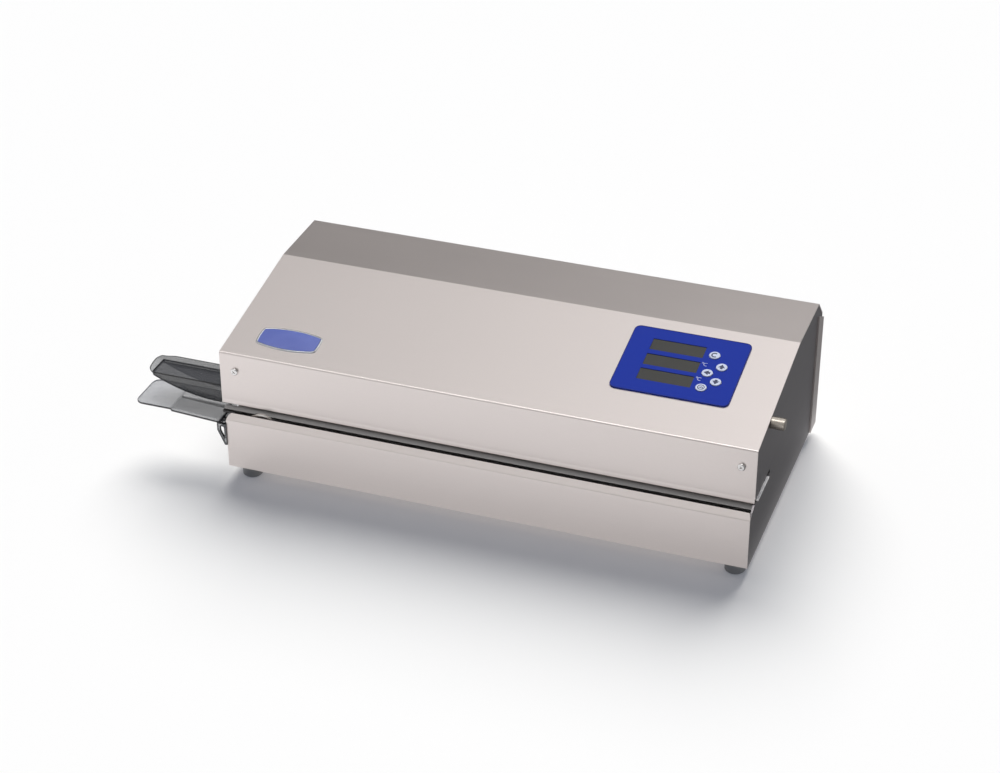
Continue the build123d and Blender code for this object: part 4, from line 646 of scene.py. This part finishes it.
def tray_piece():
    """The tray as one closed mesh: top, softened edge, side band and underside."""
    layers = []
    for inset, drop in ((EDGE, 0.0), (0.0, EDGE), (0.0, TRAY_SHEET - EDGE), (EDGE, TRAY_SHEET)):
        x, y = tray_grid(inset)
        layers.append(np.stack([x, y, tray_top(x, y) - drop], -1))
    rows, columns = layers[0].shape[:2]
    count = rows * columns
    index = np.arange(count).reshape(rows, columns)
    rim = np.concatenate([index[0, :], index[1:, -1], index[-1, -2::-1], index[-2:0:-1, 0]])
    ahead = np.roll(rim, -1)
    bands = [np.stack([rim, ahead, ahead + count, rim + count], -1) + k * count for k in range(3)]
    sheet_faces = grid_faces(rows, columns)
    faces = np.concatenate([sheet_faces, *bands, sheet_faces[:, ::-1] + 3 * count])
    piece = fill_mesh("tray_leaf", np.stack(layers), faces)
    edge_and_painted_shade = np.zeros((4, rows, columns))
    edge_and_painted_shade.reshape(4, -1)[1:3, rim] = 1.0
    edge_and_painted_shade[1:3, :, 0] = 1.0
    edge_and_painted_shade.reshape(4, -1)[0, rim] = 0.8
    x, y = layers[0][..., 0], layers[0][..., 1]
    # Painted shade in the pocket: a dark band along its step and a darker floor, held in the same number as the
    # cut edges.
    step_shade = 0.34 * np.exp(-((x - POCKET_X) / (1.4 * MM)) ** 2)
    floor_shade = 0.40 * ((x > POCKET_X) & (y > tray_low[1] + 3.4 * MM) & (y < POCKET_BACK))
    corner_line = 0.8 * ((x > POCKET_X) & (np.abs(y - POCKET_BACK) < 0.5 * MM))
    edge_and_painted_shade[0] = np.maximum(edge_and_painted_shade[0], np.maximum(np.maximum(step_shade, floor_shade), corner_line))
    mark_edge_and_painted_shade(piece, edge_and_painted_shade)
    shape = bmesh.new()
    shape.from_mesh(piece.data)
    bmesh.ops.delete(shape, geom=[v for v in shape.verts if not v.link_faces], context="VERTS")
    shape.to_mesh(piece.data)
    shape.free()
    return piece


tray = keep(tray_piece(), "case", clear)
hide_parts("infeed_tray")
tail_corners = [(POCKET_BACK, tray_high[2] - TRAY_SHEET), (tray_high[1], tray_high[2] - TRAY_SHEET),
                (tray_high[1], tray_high[2]), (POCKET_BACK, tray_high[2])]
tail = prism("tray_tail", rounded(tail_corners, EDGE), across_x, POCKET_END - EDGE, tray_high[0])
mark_edge_and_painted_shade(tail, np.zeros(len(tail.data.vertices)))
keep(tail, "case", clear)
print("tray faces:", len(tray.data.polygons))

# %% [markdown]
# The tray hangs on a clear bracket: two triangular gussets with a window each, a bar under the tray
# and a flange on the side plate. A gusset is a plate with a hole, so it is built as a ring: rays from
# the window's middle meet the window and the outline, and each ray gives one thin section of the
# plate. The sections' outer and inner ends are the cut edges, which look dark in clear plastic.

# %% The tray's bracket
GUSSET = 3.0 * MM
GUSSET_STEP = 10.0 * MM
FLANGE = 2.0 * MM


def ray_reach(polygon, centre, angle):
    """How far a ray from centre runs before it leaves a convex polygon of (x, z) points."""
    ray = np.array([math.cos(angle), math.sin(angle)])
    best = math.inf
    for here, after in zip(polygon, np.roll(polygon, -1, 0)):
        side = after - here
        cross = ray[0] * side[1] - ray[1] * side[0]
        if abs(cross) > 1e-12:
            gap = here - centre
            reach = (gap[0] * side[1] - gap[1] * side[0]) / cross
            if reach > 0:
                best = min(best, reach)
    return best


def gusset(name, front, outline, window):
    """A plate with a window, from front to one gusset's thickness behind it."""
    centre = window.mean(0)
    turns = [math.atan2(*(corner - centre)[::-1]) for corner in (*outline, *window)]
    angles = np.unique(np.concatenate([np.linspace(-math.pi, math.pi, 48, endpoint=False), turns]))
    ease = 0.35 * MM
    sections = []
    for angle in angles:
        ray = np.array([math.cos(angle), math.sin(angle)])
        inner, outer = ray_reach(window, centre, angle), ray_reach(outline, centre, angle)
        reach = [inner, inner + ease, outer - ease, outer, outer, outer - ease, inner + ease, inner]
        y = [front + ease, front, front, front + ease, front + GUSSET - ease, front + GUSSET,
             front + GUSSET, front + GUSSET - ease]
        sections.append([(centre[0] + ray[0] * r, q, centre[1] + ray[1] * r) for r, q in zip(reach, y)])
    piece = ring(name, np.array(sections))
    mark_edge_and_painted_shade(piece, np.tile([1.0, 0.1, 0.1, 1.0, 1.0, 0.1, 0.1, 1.0], len(angles)))
    return keep(piece, "case", clear)


tip_x, left_x = bracket_low[0], bracket_high[0]
bar_x, flange_x = tip_x + GUSSET, left_x - FLANGE
tip_z, left_z = bracket_high[2], tray_low[2] - (tray_high[2] - POCKET_DEPTH - floor_end) * 0.1
foot_z = bracket_low[2]
knee_z = foot_z + (left_z - foot_z) * 2 / 3
gusset_outline = np.array([(tip_x, tip_z), (tip_x, knee_z), (flange_x, foot_z), (left_x, foot_z),
                           (left_x, left_z)])
gusset_window = np.array([(bar_x, tip_z - GUSSET), (bar_x, knee_z), (flange_x, foot_z + 2 * GUSSET),
                          (flange_x, left_z - GUSSET)])
for i in range(2):
    front = tray_low[1] + i * GUSSET_STEP
    piece = gusset(f"bracket_gusset_{i + 1}", front, gusset_outline, gusset_window)
    if i == 0:
        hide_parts("tray_bracket")
for name, x0, x1, z0, z1, y1 in (
        ("bracket_bar", tip_x, bar_x, tip_z - GUSSET, tip_z - 0.2 * MM, POCKET_BACK),
        ("bracket_flange", flange_x, left_x, foot_z, left_z, tray_high[1])):
    corners = [(tray_low[1] + GUSSET, z0), (y1, z0), (y1, z1), (tray_low[1] + GUSSET, z1)]
    bar = prism(name, rounded(corners, 0.5 * MM), across_x, x0, x1)
    mark_edge_and_painted_shade(bar, np.full(len(bar.data.vertices), 0.5))
    keep(bar, "case", clear)
print("bracket", np.round((bracket_high - bracket_low) / MM, 1), "mm")

# %% [markdown]
# At the outfeed end the guide's tab comes out through the side plate's slit. Its end carries a white
# strip, whose colour is a painted highlight for the bright light along the tab's edge.

# %% The outfeed strip
TAB_SETBACK = 4.0 * MM
STRIP_THICK, STRIP_PROUD = 1.5 * MM, 1.9 * MM
tab_front = cover_low[1] + TAB_SETBACK
tab_back, tab_top = high("lower_guide_plate")[1:]
plate_out = high("right_side_plate")[0]
strip_corners = [(tab_front, tab_top - STRIP_THICK), (tab_back, tab_top - STRIP_THICK),
                 (tab_back, tab_top), (tab_front, tab_top)]
strip = prism("outfeed_strip", rounded(strip_corners, 0.5 * MM), across_x, plate_out - 0.25 * MM,
              plate_out + STRIP_PROUD, soften=0.2 * MM)
# The strip's white is a painted highlight, not a colour of its own.
painted_highlight_white = moulded("outfeed_painted_highlight", (0.95, 0.93, 0.92), 0.35, grain=0.08, mottle=0.02)
keep(strip, "case", painted_highlight_white)
print("outfeed strip", round((tab_back - tab_front) / MM, 1), "mm long")

# %% [markdown]
# The cover's lower edge is a hem that leans out a little, so that it catches the light of the room and
# not the dark of the slot. A strip as thick as the sheet makes it.

# %% The cover's hem
HEM_RISE, HEM_LEAN, SHEET = 4.5 * MM, 0.35 * MM, 1.5 * MM
HAIR = 0.04 * MM
hem_y = cover_low[1] - HAIR
hem_corners = [(hem_y - HEM_LEAN, cover_low[2]), (hem_y + SHEET, cover_low[2]),
               (hem_y + SHEET, cover_low[2] + HEM_RISE), (hem_y, cover_low[2] + HEM_RISE)]
hem = prism("cover_hem", rounded(hem_corners, 0.25 * MM), across_x, cover_low[0], cover_high[0])
keep(hem, "case", case_steel, smooth=5.0)
print("hem", round(HEM_RISE / MM, 1), "mm high")

# %% [markdown]
# The control panel, the badge and the keys lie on the slope. Its direction is the direction in which a
# key is pressed, which the frame's joints state, and its place follows from the overlay's box: a flat
# plate of length L and thickness t at an angle fills a box of height L sin + t cos and depth
# L cos + t sin, so both can be solved.

# %% The slope's own coordinates
press = next(j for j in frame["joints"] if j["name"] == "key_clear_press")["axis"]
normal = -np.array(press, float)
uphill = np.array([0.0, normal[2], -normal[1]])
span = high("panel_overlay") - low("panel_overlay")
plate = np.linalg.solve([[uphill[1], uphill[2]], [uphill[2], uphill[1]]], [span[1], span[2]])
PANEL_LENGTH, PANEL_THICK = plate
PANEL_WIDTH = span[0]
panel_foot = middle("panel_overlay") - normal * PANEL_THICK / 2


def on_slope(x, s, h):
    """A place x along the machine, s up the slope from the panel's middle and h above the sheet."""
    x, s, h = np.broadcast_arrays(np.asarray(x, float), s, h)
    return np.stack([x, panel_foot[1] + s * uphill[1] + h * normal[1],
                     panel_foot[2] + s * uphill[2] + h * normal[2]], -1)


CAP_MIDDLE = 1.1 * MM
CAP_TOP = 1.6 * MM


def key_centre(name):
    """(x, s) of a key's cap: its box is centred on the cap, whose middle stands at a known height."""
    x, y = middle(name)[:2]
    return x, (y - panel_foot[1] - CAP_MIDDLE * normal[1]) / uphill[1]


print("slope", round(math.degrees(math.asin(uphill[2])), 2), "degrees")
print("panel", np.round(plate / MM, 2), "mm")

# %% [markdown]
# The overlay is a printed polyester film on a stiff backing: deep blue with a very fine leathery grain
# and a satin gloss. A thin darker cord of lacquer runs round its rim. The cord is a small half-round
# section carried round the overlay's outline.

# %% Overlay film and its rim
film = moulded("overlay_film", (0.014, 0.036, 0.32), 0.45, grain=0.06, cells=2200.0, mottle=0.03)
film.put("Specular IOR Level", 0.08)
dress("overlay_blue", film)
rim_lacquer = moulded("overlay_rim", (0.012, 0.02, 0.16), 0.3, grain=0.03, mottle=0.04)
rim_lacquer.put("Specular IOR Level", 0.2)
RIM = 0.9 * MM


def half_round(path, width, base, rise, steps=7):
    """Sections of a half-round cord along a closed path of (x, s) points on the slope."""
    steps_on = np.roll(path, -1, 0) - np.roll(path, 1, 0)
    side = np.stack([steps_on[:, 1], -steps_on[:, 0]], 1)
    side /= np.linalg.norm(side, axis=1, keepdims=True)
    angle = np.linspace(0, math.pi, steps)
    out, up = np.cos(angle) * width / 2, base + np.sin(angle) * rise
    x = path[:, None, 0] + side[:, None, 0] * out
    s = path[:, None, 1] + side[:, None, 1] * out
    return on_slope(x, s, np.broadcast_to(up, x.shape))


def slope_rectangle(x, s, width, length, radius, steps=9):
    """The outline of a rounded rectangle on the slope."""
    half_w, half_l = width / 2, length / 2
    corners = [(x - half_w, s - half_l), (x + half_w, s - half_l), (x + half_w, s + half_l),
               (x - half_w, s + half_l)]
    return rounded(corners, radius, steps)


panel_x = middle("panel_overlay")[0]
rim_path = slope_rectangle(panel_x, 0, PANEL_WIDTH - RIM, PANEL_LENGTH - RIM, 6 * MM - RIM / 2)
rim = ring("overlay_rim", half_round(rim_path, RIM, PANEL_THICK - 0.05 * MM, 0.25 * MM))
keep(rim, "case", rim_lacquer)
print("overlay rim points:", len(rim_path))

# %% [markdown]
# The caps of the five keys are pale silver discs. Each carries a printed mark: a C for clear, arrows
# up, down and left, and a small meter for set. Marks are real thin shapes that ride with their key,
# so they move when it is pressed. An arrow is a flat prism; a letter's stroke is a flat ribbon.

# %% Keys and their marks
dress("key_silver", moulded("key_film", (0.60, 0.65, 0.80), 0.36, grain=0.05, mottle=0.05, coat=0.2))
ink = moulded("key_ink", (0.035, 0.04, 0.09), 0.5, grain=0.03, mottle=0.1)
white_ink = moulded("panel_ink", (0.55, 0.60, 0.80), 0.5, grain=0.03, mottle=0.05)
INK = 0.06 * MM
SUNK = 0.01 * MM
MARK_BASE = CAP_TOP - SUNK


def slope_prism(name, outline, base, thickness=INK):
    """A flat mark on the slope."""
    return prism(name, np.asarray(outline), on_slope, base, base + thickness, soften=0.02 * MM)


def stroke(path, width):
    """The outline of a ribbon along an open path of (x, s) points."""
    step = np.gradient(path, axis=0)
    side = np.stack([-step[:, 1], step[:, 0]], 1)
    side *= width / 2 / np.linalg.norm(side, axis=1, keepdims=True)
    return path + side, path - side


def ribbon(name, path, width, base, thickness=INK):
    """A printed stroke: a thin box section carried along a path on the slope."""
    left, right = stroke(np.asarray(path, float), width)
    edges = [(left, base), (right, base), (right, base + thickness), (left, base + thickness)]
    return tube(name, np.stack([on_slope(edge_and_painted_shade[:, 0], edge_and_painted_shade[:, 1], height) for edge_and_painted_shade, height in edges], 1))


def arc(x, s, radius, start, end, steps=25):
    """Points of an arc on the slope, angles in degrees."""
    angle = np.radians(np.linspace(start, end, steps))
    return np.stack([x + radius * np.cos(angle), s + radius * np.sin(angle)], 1)


def arrow(name, x, s, turn_by):
    """A broad arrowhead with a short stem, turned by an angle from pointing uphill."""
    shape = np.array([(0, 3.3), (-3.1, -0.9), (-1.2, -0.9), (-1.2, -2.7), (1.2, -2.7), (1.2, -0.9),
                      (3.1, -0.9)]) * MM
    shape = shape[::-1]
    c, d = math.cos(math.radians(turn_by)), math.sin(math.radians(turn_by))
    turned_shape = shape @ np.array([[c, d], [-d, c]])
    return slope_prism(name, turned_shape + (x, s), MARK_BASE)


marks = []
for key, angle in (("key_up", 0), ("key_shift", 90), ("key_down", 180)):
    x, s = key_centre(key)
    marks.append((arrow(key + "_arrow", x, s, angle), key))
x, s = key_centre("key_clear")
letter = ribbon("key_clear_letter", arc(x, s, 2.5 * MM, 50, 310), 1.25 * MM, MARK_BASE)
marks.append((letter, "key_clear"))
x, s = key_centre("key_set")
meter = ribbon("key_set_ring", arc(x, s, 2.9 * MM, 0, 359, 41), 0.7 * MM, MARK_BASE)
marks.append((meter, "key_set"))
for i, rise in enumerate((-1.0, 0.6, -0.2)):
    bar = [(x + (i - 1) * 1.3 * MM, s - 1.5 * MM), (x + (i - 1) * 1.3 * MM, s + (0.9 + rise * 0.6) * MM)]
    marks.append((ribbon(f"key_set_bar_{i}", bar, 0.7 * MM, MARK_BASE), "key_set"))
for mark, key in marks:
    keep(mark, key + "_cap", ink)
print("key marks:", len(marks))

# %% [markdown]
# Two displays show a temperature, so a small degree sign and a C are printed on the film beside them.
# They are strokes of pale ink, made as the letters on the keys are.

# %% Degree signs on the film
def degree_mark(i, x, s):
    """A small ring and a square-shouldered C in pale ink."""
    base = PANEL_THICK - SUNK
    dot_path = arc(x - 2.3 * MM, s + 1.6 * MM, 0.7 * MM, 0, 359, 17)
    dot = ribbon(f"degree_ring_{i}", dot_path, 0.35 * MM, base)
    letter = ribbon(f"degree_letter_{i}", arc(x + 0.6 * MM, s, 1.9 * MM, 55, 305, 21), 0.5 * MM, base)
    for piece in (dot, letter):
        keep(piece, "case", white_ink)


keys_x, keys_s = key_centre("key_clear")
for i, offset in enumerate((-13.9 * MM, -34.1 * MM)):
    degree_mark(i, keys_x - 4.9 * MM, keys_s + offset)
print("degree signs on the film done")

# %% [markdown]
# The badge is a blank enamelled plate: a domed blue field inside a bright rolled frame. Its four sides
# bow outwards, the long ones more than the ends. A side is a straight line between two corners plus
# the bow times 4t(1 - t), which is the arc's own shape for such flat bows. The dome is the same
# outline shrunk towards the centre while its height rises as 1 - r^2.

# %% The badge
badge_span = high("badge_plate") - low("badge_plate")
BADGE_THICK = 1.2 * MM
badge_x, badge_y = middle("badge_plate")[:2]
badge_s = (badge_y - panel_foot[1] - BADGE_THICK / 2 * normal[1]) / uphill[1]
HALF_A = badge_span[0] / 2
HALF_B = (badge_span[1] - BADGE_THICK * uphill[2]) / uphill[1] / 2
FRAME = 2.2 * MM
LONG_BOW = 3.9 * MM
END_BOW = 0.8 * MM


def bowed(inset, steps=36):
    """The badge's outline, drawn in by an inset and with its corners eased, anticlockwise."""
    a, b = HALF_A - inset, HALF_B - inset
    corners = np.array([(-1, -1), (1, -1), (1, 1), (-1, 1)]) * (a - END_BOW, b - LONG_BOW)
    t = np.linspace(0, 1, steps, endpoint=False)[:, None]
    sides = []
    for here, after, out in zip(corners, np.roll(corners, -1, 0), ((0, -1), (1, 0), (0, 1), (-1, 0))):
        bow_out = np.array(out) * (LONG_BOW if out[0] == 0 else END_BOW)
        sides.append(here + (after - here) * t + 4 * t * (1 - t) * bow_out)
    path = np.concatenate(sides)
    eased = sum(np.roll(path, k, 0) for k in (-2, -1, 0, 1, 2)) / 5
    return eased + (badge_x, badge_s)


def dome(name, outline, base, rise, rings=10):
    """A closed cap over an outline: rings shrink to the middle while the height rises as 1 - r^2."""
    centre = outline.mean(0)
    layers = [on_slope(outline[:, 0], outline[:, 1], 0.0)]
    for r in np.linspace(1, 0.02, rings):
        points = centre + (outline - centre) * r
        layers.append(on_slope(points[:, 0], points[:, 1], base + rise * (1 - r * r)))
    return tube(name, np.stack(layers))


enamel = Finish("badge_enamel", (0.05, 0.09, 0.42), 0.12, 0.0, Coat_Weight=0.8)
depth = enamel.noise(28.0, 2.0)
flake = enamel.noise(2600.0, 1.0)
colour_share = (depth * 0.8 + flake * 0.35 - 0.1).clamp()
enamel.put("Base Color", enamel.mix(colour_share, (0.035, 0.065, 0.36), (0.13, 0.18, 0.55)))
enamel.put("Roughness", (0.1 + flake * 0.12).clamp())
frame_metal = turned("badge_frame", (0.62, 0.64, 0.68), 0.2, "Z", pitch=300.0)
field = dome("badge_field", bowed(FRAME * 0.6), 0.75 * MM, 0.55 * MM)
keep(field, "case", enamel)
border = ring("badge_frame", half_round(bowed(FRAME / 2), FRAME, 0.0, 1.15 * MM, 9))
keep(border, "case", frame_metal)
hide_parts("badge_plate")
print("badge", np.round(2 * np.array([HALF_A, HALF_B]) / MM, 1), "mm")

# %% [markdown]
# The studio is a white floor that runs far beyond the view. The floor is a real surface, so it keeps
# the soft shadow, and a little bluish light of its own for camera rays lifts it to white where nothing
# shades it. Mirrors see it darker to the right of the case, so the side plate looks dark. The sky has no
# picture. Mirrors see it brightest high up behind the machine, so the control slope mirrors a bright
# area and the flat top a darker one. It is a plain grey in front, with one bright patch overhead that
# draws the light line along the cover's bend. Matt surfaces gather one even level from it.

# %% Studio floor and sky
scene = bpy.context.scene
scene.view_settings.view_transform = "Standard"
FLOOR_HALF = 12.0
floor_mesh = bpy.data.meshes.new("floor")
floor_mesh.from_pydata([(-FLOOR_HALF, -FLOOR_HALF, 0), (FLOOR_HALF, -FLOOR_HALF, 0),
                        (FLOOR_HALF, FLOOR_HALF, 0), (-FLOOR_HALF, FLOOR_HALF, 0)], [], [(0, 1, 2, 3)])
floor = bpy.data.objects.new("floor", floor_mesh)
scene.collection.objects.link(floor)


def ray_kind(network, *kinds):
    """1 for rays of any of these kinds, else 0."""
    outputs = network.tree.nodes.new("ShaderNodeLightPath").outputs
    total = Expr(network, outputs[kinds[0]])
    for kind in kinds[1:]:
        total = total + Expr(network, outputs[kind])
    return total.clamp()


def ramp(value, start, end):
    """0 before start, 1 after end, straight between, held at both."""
    return ((value - start) * (1 / (end - start))).clamp()


paper = Finish("floor_paper", (0.80, 0.80, 0.80), 0.9)
paper.put("Emission Strength", 1.0)
paper.put("Specular IOR Level", 0.0)
across = paper.node("SeparateXYZ", {}, {0: paper.place()})
in_mirrors = ray_kind(paper, "Is Glossy Ray")
shaded = in_mirrors * ramp(across, 0.28, 0.305)
tone = paper.mix(shaded, (0.42, 0.42, 0.42), (0.185, 0.185, 0.185))
paper.put("Base Color", paper.mix(in_mirrors, (0.807, 0.793, 0.761), tone))
CAMERA_LIFT = 0.137
MIRROR_LIFT, MIRROR_FALL = 0.542, 0.09
mirror_lift = MIRROR_LIFT - MIRROR_FALL * ramp(across, -0.3, 0.3)
lift = (ray_kind(paper, "Is Camera Ray", "Is Transmission Ray") * CAMERA_LIFT
        + (in_mirrors - 0.95 * shaded).clamp() * mirror_lift)
cast = paper.mix(in_mirrors, (0.82, 0.87, 1.0), (1.0, 1.0, 1.0))
paper.put("Emission Color", paper.mix(lift, (0.0, 0.0, 0.0), cast))
floor_mesh.materials.append(paper.material)
floor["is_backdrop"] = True

world = bpy.data.worlds.new("studio_sky")
world.use_nodes = True
scene.world = world
sky = Network(world.node_tree)
backdrop = world.node_tree.nodes["Background"]
sides = sky.node("SeparateXYZ", {}, {0: sky.node("TexCoord", {}, {}, "Generated")}).socket.node.outputs
to_right, to_back, upward = (Expr(sky, sides[k]) for k in range(3))

# Strengths of the sky: what mirrors see low and high behind, in front and overhead, and the even level.
BACK_LOW, BACK_RISE = 0.09, 1.36
LEFT_LEVEL, BACK_GAIN, FRONT_FALL = 0.74, 0.46, 0.42
OVERHEAD, EVEN = 4.0, 0.15
high_up = ramp(upward + 0.3 * to_right, 0.317, 0.835)
behind = ramp(to_back, 0.2, 0.6)
to_side = ramp(to_right, -0.42, 0.0)
in_front = LEFT_LEVEL - FRONT_FALL * to_side
at_back = (BACK_LOW + BACK_RISE * high_up) * (LEFT_LEVEL + BACK_GAIN * to_side)
overhead = ramp(upward, 0.90, 0.97) * (1 - ramp(to_back, -0.12, 0.08))
mirrored = in_front + (at_back - in_front) * behind + OVERHEAD * overhead
camera_sees = ray_kind(sky, "Is Camera Ray", "Is Transmission Ray")
mirror_sees = ray_kind(sky, "Is Glossy Ray")
even_light = (1 - camera_sees - mirror_sees).clamp()
sky.join(backdrop.inputs["Color"], sky.mix(even_light, (1.0, 1.0, 1.0), (0.90, 0.97, 1.13)))
sky.join(backdrop.inputs["Strength"],
         camera_sees + mirror_sees * mirrored + even_light * EVEN)
print("studio ready")

# %% [markdown]
# One very soft lamp stands behind and above. It draws the shadow forwards, evenly over the floor, and
# steel doesn't mirror it: the sky does that work.

# %% The lamp
origin = np.array([(cover_low[0] + cover_high[0]) / 2, cover_low[1], low("front_panel")[2]])
lamp_data = bpy.data.lights.new("key_lamp", "SUN")
lamp_data.energy = 4.15
lamp_data.angle = math.radians(48)
key_lamp = bpy.data.objects.new("key_lamp", lamp_data)
scene.collection.objects.link(key_lamp)
key_lamp.rotation_euler = (math.radians(-42.5), math.radians(-12.5), 0)
key_lamp.visible_glossy = False

# %% [markdown]
# The camera stands in front and to the right, about two metres away, and looks down at 31 degrees. A
# long lens keeps the case's edges nearly parallel.

# %% The camera
CAMERA_PLACE = (0.6063, -1.6619, 1.2006)
AZIMUTH, ELEVATION = 19.458, 31.271
camera_data = bpy.data.cameras.new("camera")
camera_data.lens = 85.67
camera_data.sensor_width = 36.0
camera_data.clip_end = 100.0
camera = bpy.data.objects.new("camera", camera_data)
camera.location = origin + CAMERA_PLACE
camera.rotation_euler = (math.radians(90 - ELEVATION), 0, math.radians(AZIMUTH))
scene.collection.objects.link(camera)
scene.camera = camera
print("camera at", np.round(camera.location, 3))

# %% [markdown]
# Dressing a model mustn't change its size. The box at load and the box now are printed, so that a
# piece that stands proud shows at once.

box_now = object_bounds()
sizes = {"cad": [list(map(float, corner)) for corner in box_at_load],
         "visual": [list(map(float, corner)) for corner in box_now]}
for name, (lowest, highest) in sizes.items():
    print(name, [round((b - a) / MM, 1) for a, b in zip(lowest, highest)], "mm")
